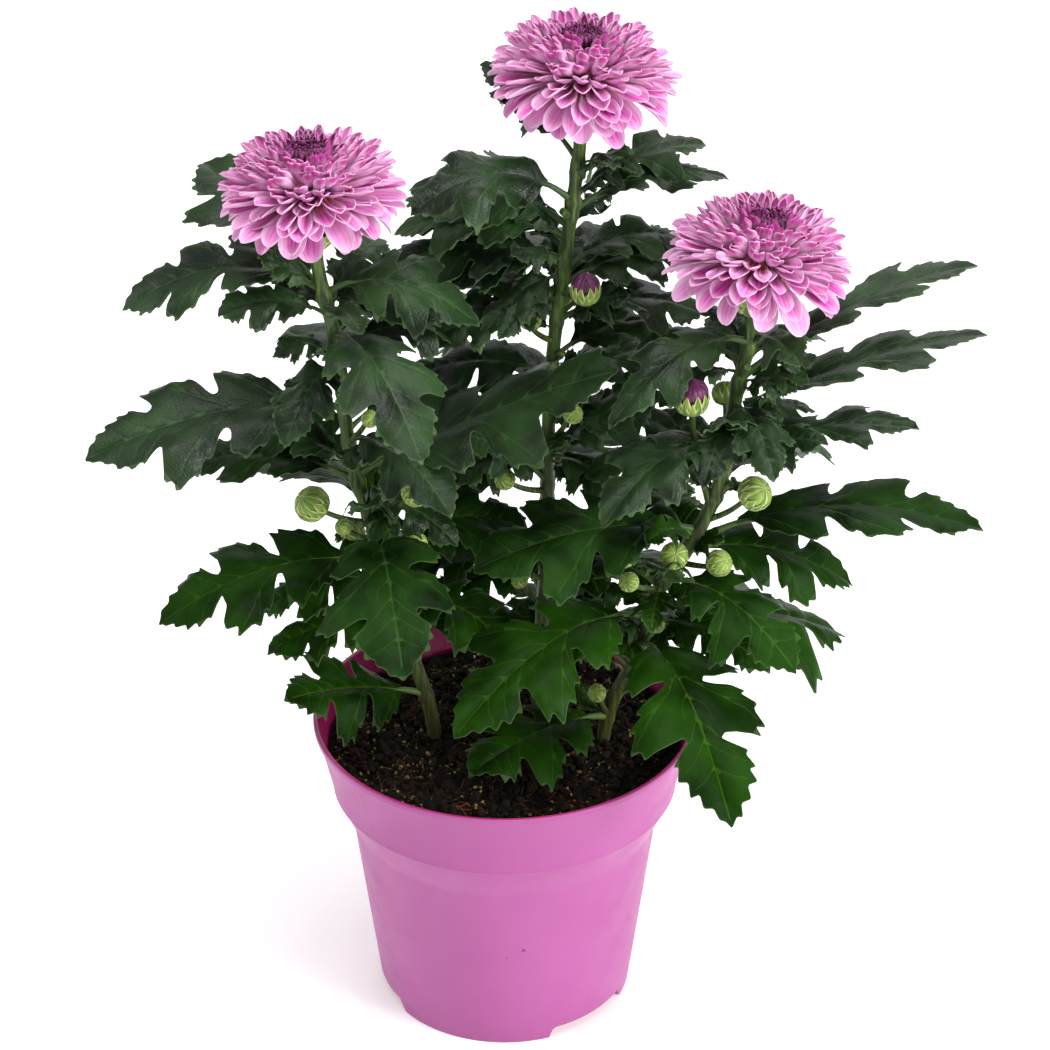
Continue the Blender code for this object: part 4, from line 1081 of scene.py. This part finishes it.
# Florets change from the eye outwards: each list follows the angles in degrees from the bloom's axis
CROWN = ([15, 42], [0.88, 1.0])
BULGE = ([15, 40, 62, 90, 127], [-2.8, -3.6, -1.8, 1.2, 5.4])
ROLL_HALFWAY = ([15, 45, 62, 80, 127], [125, 96, 68, 48, 36])
ROLL_AT_TIP = ([15, 60, 127], [130, 72, 34])
thetas = np.linspace(15, 127, 400)
widths = np.interp(thetas, [15, 25, 40, 55, 70, 90, 127], [2.3, 2.9, 3.6, 4.5, 5.8, 7.2, 8.8])
spacings = np.interp(thetas, [15, 25, 40, 60, 80, 127], [1.9, 2.4, 3.1, 4.2, 5.6, 7.2])
crowding = np.cumsum(np.sin(np.radians(thetas)) / spacings**2)
crowding /= crowding[-1]
draw = random.Random(41)
for bloom in BLOOMS:
    centre, lean_turn = bloom_place(bloom)
    batch = {}
    for i in range(FLORETS):
        theta = float(np.interp((i + 0.5) / FLORETS, crowding, thetas)) + draw.uniform(-4.0, 4.0)
        width = float(np.interp(theta, thetas, widths)) * draw.uniform(0.88, 1.12)
        heading = i * GOLDEN_ANGLE + draw.uniform(-0.16, 0.16)
        slope, start = math.radians(theta), math.radians(18 + 0.78 * theta)
        reach = draw.uniform(0.86, 1.05)
        root = (9.0 * math.sin(start), 8.0 * math.cos(start) + 1.0)
        tall = BLOOM_HALF_HEIGHT * reach * float(np.interp(theta, *CROWN))
        tip = (BLOOM_RADIUS * reach * math.sin(slope), tall * math.cos(slope))
        bulge = float(np.interp(theta, *BULGE)) + draw.uniform(-1.1, 1.1)
        run = np.subtract(tip, root)
        ahead = run / np.linalg.norm(run)
        bend = np.add(root, run * 0.6) + np.array([-ahead[1], ahead[0]]) * bulge
        axes = level_axes(heading)
        twist_axis = axes[0] * ahead[0] + axes[2] * ahead[1]
        twist = np.array(Matrix.Rotation(draw.uniform(-0.45, 0.45), 3, twist_axis))
        halfway = float(np.interp(theta, *ROLL_HALFWAY)) + draw.uniform(-8, 8)
        rolls = (150, halfway, float(np.interp(theta, *ROLL_AT_TIP)))
        ray_floret(
            batch, axes @ twist.T @ lean_turn.T, centre, (root, bend, tip), width, rolls, FLORET_THICKNESS,
            (theta - 15) / 112, draw.random(), FLORET_SHAPE, 11, 7,
        )
    add_batch(f"florets_{bloom}", batch, floret_skin, "florets", [f"bloom_{bloom}"], sharp=70)
    points, faces = turned(RECEPTACLE, 40)
    points = tilted(bloom, points)
    add_piece(f"receptacle_{bloom}", points, faces, receptacle_skin, "florets", [f"bloom_{bloom}"])


# Eyes. The middle of each bloom is still shut: over a hundred short florets curled in over each other, dark
# purple, with the outer ones just showing a magenta tip. Their feet and the button under them are painted
# darker still, as painted shade between the florets.
eye_skin, shader, add = new_material("dark_eye_floret")
height, tone = (add("Attribute", attribute_name=key).outputs["Fac"] for key in ("along", "tone"))
# Painted shade: the colour darkens to near black towards the florets' feet; the magenta at the tips is their
# own.
tips_and_painted_shade = add("Math", {0: height, 1: tone}, operation="MULTIPLY")
eye_colour = add("ValToRGB", {"Fac": tips_and_painted_shade}, stops=[(0.15, "#2C081D"), (0.95, "#9C3284"), (0.6, "#540E3E")])
feed(shader, {"Base Color": eye_colour, "Roughness": 0.5})
EYE_RADIUS = 6.8
EYE_SEAT = 13.3
EYE_FLORETS = 110
# From its foot each floret leans out a little, then in over the middle: outward, and up to its height
EYE_BEND = [(0.0, 0.0), (0.35, 0.55), (-0.3, 0.85), (-0.9, 1.0)]
draw = random.Random(43)
for bloom in BLOOMS:
    batch = {}
    button = [(0.0, EYE_SEAT), (6.2, EYE_SEAT), (6.2, 14.0), (4.0, 15.0), (0.0, 15.3)]
    points, faces = turned(button, 24)
    gather(batch, tilted(bloom, points), faces, along=0.0, tone=0.0)
    for i in range(EYE_FLORETS):
        share = math.sqrt((i + 0.5) / EYE_FLORETS)
        radius = EYE_RADIUS * share * 0.95
        tall = 3.2 + 0.8 * share + draw.uniform(-0.4, 0.6)
        turn = i * GOLDEN_ANGLE
        path = [polar(turn, radius + out * share, EYE_SEAT + tall * up) for out, up in EYE_BEND]
        thick = 0.42 + 0.22 * share
        shape, faces = rod(path, [thick, thick * 1.15, thick, thick * 0.45], 7)
        along = np.repeat([0.0, 0.5, 0.85, 1.0], 7)
        gather(batch, tilted(bloom, shape), faces, along=along, tone=draw.uniform(0.3, 1.0))
    add_batch(f"eye_florets_{bloom}", batch, eye_skin, "bloom_eye", [f"eye_{bloom}"], sharp=60)


# Buds. A closed bud is a flattened ball of overlapping green bracts with pale rims, on a thin stalk. A few
# have opened far enough to show a tuft of florets, still shut and dark magenta.
BUDS = {
    "left": [
        (182, -160, 20, 11, 5.9), (185, -40, 21, 16, 4.6), (167, -50, 18, 15, 4.0),
        (175, -150, 12, 9, 2.8), (213, -45, 11, 12, 2.8), (158, 140, 16, 14, 4.2),
    ],
    "middle": [
        (183, -135, 20, 12, 3.5), (202, -55, 14, 16, 3.2), (139, -125, 14, 16, 2.8),
        (232, 80, 15, 16, 4.4), (190, 150, 14, 12, 3.6),
    ],
    "right": [
        (186, -30, 18, 15, 5.6), (171, -150, 22, 9, 5.0), (165, -85, 13, 15, 4.4),
        (170, -35, 16, 5, 4.4), (160, -130, 17, 10, 3.2), (138, -70, 13, 15, 3.0),
        (108, -115, 10, 14, 3.0), (210, 90, 13, 16, 4.4),
    ],
}
PINK_BUDS = [
    ("middle", 257, -55, 14, 6, 4.8),
    ("middle", 239, -135, 11, 12, 3.6),
    ("right", 191, -130, 12, 45, 5.6),
]
BUD_SQUEEZE = 0.85
BRACT_THICKNESS = 0.3


def bract_rows(batch, centre, axis_turn, rows, draw):
    """Rings of small pointed bracts. Each row: count, root, bend and tip as (outward, upward), width."""
    for row, (count, *plan, width) in enumerate(rows):
        for k in range(count):
            axes = level_axes(math.tau * (k + 0.5 * row) / count + draw.uniform(-0.08, 0.08)) @ axis_turn.T
            cupped = (40, 36, 30)
            ray_floret(
                batch, axes, centre, plan, width, cupped, BRACT_THICKNESS, 0.0, draw.random(), BRACT_SHAPE,
            )


# Bract: fresh green and fleshy in the middle, thinning out to a dry, nearly white rim.
bract_skin, shader, add = new_material("green_bract")
across, tone = (add("Attribute", attribute_name=key).outputs["Fac"] for key in ("across", "tone"))
middle_green = add("Mix", {"Factor": tone, 6: "#547A1C", 7: "#86A236"}, data_type="RGBA")
rim_share = add("MapRange", {"Value": across, "From Min": 0.45, "From Max": 0.9, "To Max": 0.9})
bract_colour = add("Mix", {"Factor": rim_share, 6: middle_green, 7: "#D2D68E"}, data_type="RGBA")
feed(shader, {"Base Color": bract_colour, "Roughness": 0.55, "Sheen Weight": 0.2})

# Shut florets of a green bud, packed in its open mouth: yellow green and soft.
shut_skin, shader, add = new_material("shut_green_floret")
where = add("TexCoord").outputs["Object"]
packing = add("TexNoise", {"Vector": where, "Scale": 500.0, "Detail": 2.0})
shut_green = add("ValToRGB", {"Fac": packing}, stops=[(0.35, "#8E9A42"), (0.65, "#BEC47C")])
feed(shader, {"Base Color": shut_green, "Roughness": 0.6})

# Shut florets of a pink bud: dark magenta on the back, a little lighter at the rims.
tuft_skin, shader, add = new_material("shut_magenta_floret")
across, tone = (add("Attribute", attribute_name=key).outputs["Fac"] for key in ("across", "tone"))
tuft_pink = add("Mix", {"Factor": tone, 6: "#3A0C2E", 7: "#6C1E58"}, data_type="RGBA")
tuft_rim = add("MapRange", {"Value": across, "From Min": 0.6, "From Max": 1.0, "To Max": 0.5})
tuft_colour = add("Mix", {"Factor": tuft_rim, 6: tuft_pink, 7: "#D692C4"}, data_type="RGBA")
feed(shader, {"Base Color": tuft_colour, "Roughness": 0.5})

NOD = math.radians(48)  # how far a closed bud leans out from upright
HEART_SHARE = 0.84  # height of a bud's shut florets, to its radius
TIP_SIZE = np.array([0.11, 0.11, 0.12])
# Rows of bracts on a bud, in shares of its radius and depth, and under a bloom, in millimetres: count, root,
# bend and tip as (outward, downward) on a bud and (outward, upward) under a bloom, and width
BUD_ROWS = [
    (12, (0.12, 1.0), (1.05, 1.0), (1.03, -0.12), 0.62),
    (12, (0.5, 0.8), (1.32, 0.2), (0.9, -0.55), 0.58),
    (14, (0.86, 0.35), (1.16, -1.05), (0.08, -0.9), 0.5),
]
BLOOM_ROWS = [
    (11, (4.8, -15.0), (8.5, -12.0), (12.0, -8.6), 4.4),
    (11, (5.2, -13.5), (9.5, -11.0), (13.5, -6.5), 4.2),
    (10, (4.6, -16.5), (7.5, -14.0), (9.5, -10.8), 3.8),
]
draw = random.Random(47)
for stem in STEMS:
    shut, stalks, bracts = {}, {}, {}
    places = [(*row, False) for row in BUDS[stem]] + [(*row, True) for on, *row in PINK_BUDS if on == stem]
    for height, heading, reach, rise, radius, opened in places:
        start = on_stalk(stem, height)
        turn = math.radians(heading)
        middle = start + polar(turn, reach, rise)
        axis = Vector(polar(turn, math.sin(NOD), math.cos(NOD)))
        bud_turn = np.eye(3) if opened else np.array(axis.to_track_quat("Z", "Y").to_matrix())
        foot = middle - bud_turn[:, 2] * radius * 0.8
        bend = start + (foot - start) * 0.6 - np.array([0.0, 0.0, (foot[2] - start[2]) * 0.25])
        share = np.linspace(0, 1, 12)
        path, _ = bow(start, bend, foot, share)
        gather(stalks, *rod(path, np.interp(share, [0, 0.2, 0.9, 1], [1.5, 1.05, 0.85, 1.2]), 10))
        low = -radius * (1.0 if opened else BUD_SQUEEZE)
        rows = [
            (count, *((radius * out, low * down) for out, down in plan), radius * width)
            for count, *plan, width in BUD_ROWS[: 2 if opened else 3]
        ]
        if not opened:
            profile = [(0.0, low * 0.95)]
            for slope in range(165, 0, -15):
                out, up = math.sin(math.radians(slope)), math.cos(math.radians(slope))
                profile.append((radius * 0.88 * out, radius * HEART_SHARE * up * BUD_SQUEEZE))
            profile.append((0.0, radius * HEART_SHARE * BUD_SQUEEZE))
            points, faces = turned(profile, 20)
            gather(shut, np.array(points) @ bud_turn.T + middle, faces)
            tips = max(6, round(radius * 4))
            for i in range(tips):
                share = (i + 0.5) / tips
                up = BUD_SQUEEZE * (HEART_SHARE - 0.18 * share)
                top = polar(i * GOLDEN_ANGLE, 0.5 * math.sqrt(share), up)
                shape = radius * (top + coarse_points * TIP_SIZE)
                gather(shut, shape @ bud_turn.T + middle, coarse_faces)
        bract_rows(bracts, middle, bud_turn, rows, draw)
    bract_rows(bracts, *bloom_place(stem), BLOOM_ROWS, draw)
    add_batch(f"bud_bracts_{stem}", bracts, bract_skin, "foliage", [f"stem_{stem}"], sharp=60)
    add_batch(f"bud_hearts_{stem}", shut, shut_skin, "foliage", [f"stem_{stem}"], sharp=60)
    add_batch(f"bud_stalks_{stem}", stalks, stalk_skin, "foliage", [f"stem_{stem}"], sharp=60)
# Rings of a pink bud's florets: count, distance of the root from the middle, how far the floret bows out,
# its height and its width, all in shares of the bud's radius
TUFT_RINGS = [(5, 0.25, 0.5, 1.2, 0.6), (9, 0.55, 0.95, 1.18, 0.6), (13, 0.82, 1.28, 1.1, 0.56)]
for number, (stem, height, heading, reach, rise, radius) in enumerate(PINK_BUDS, start=1):
    middle = on_stalk(stem, height) + polar(math.radians(heading), reach, rise)
    batch = {}
    for ring, (count, start, out, tall, width) in enumerate(TUFT_RINGS):
        for k in range(count):
            axes = level_axes(math.tau * (k + 0.5 * ring) / count + draw.uniform(-0.1, 0.1))
            plan = [(start, 0.0), (out, tall * 0.85), (0.08, tall * draw.uniform(0.96, 1.06))]
            ray_floret(
                batch, axes, middle, radius * np.array(plan), radius * width, (60, 50, 60), BRACT_THICKNESS,
                0.0, draw.random(), BRACT_SHAPE, 9,
            )
    add_batch(f"bud_tuft_{number}", batch, tuft_skin, "bud_florets", [f"pink_bud_{number}"], sharp=60)
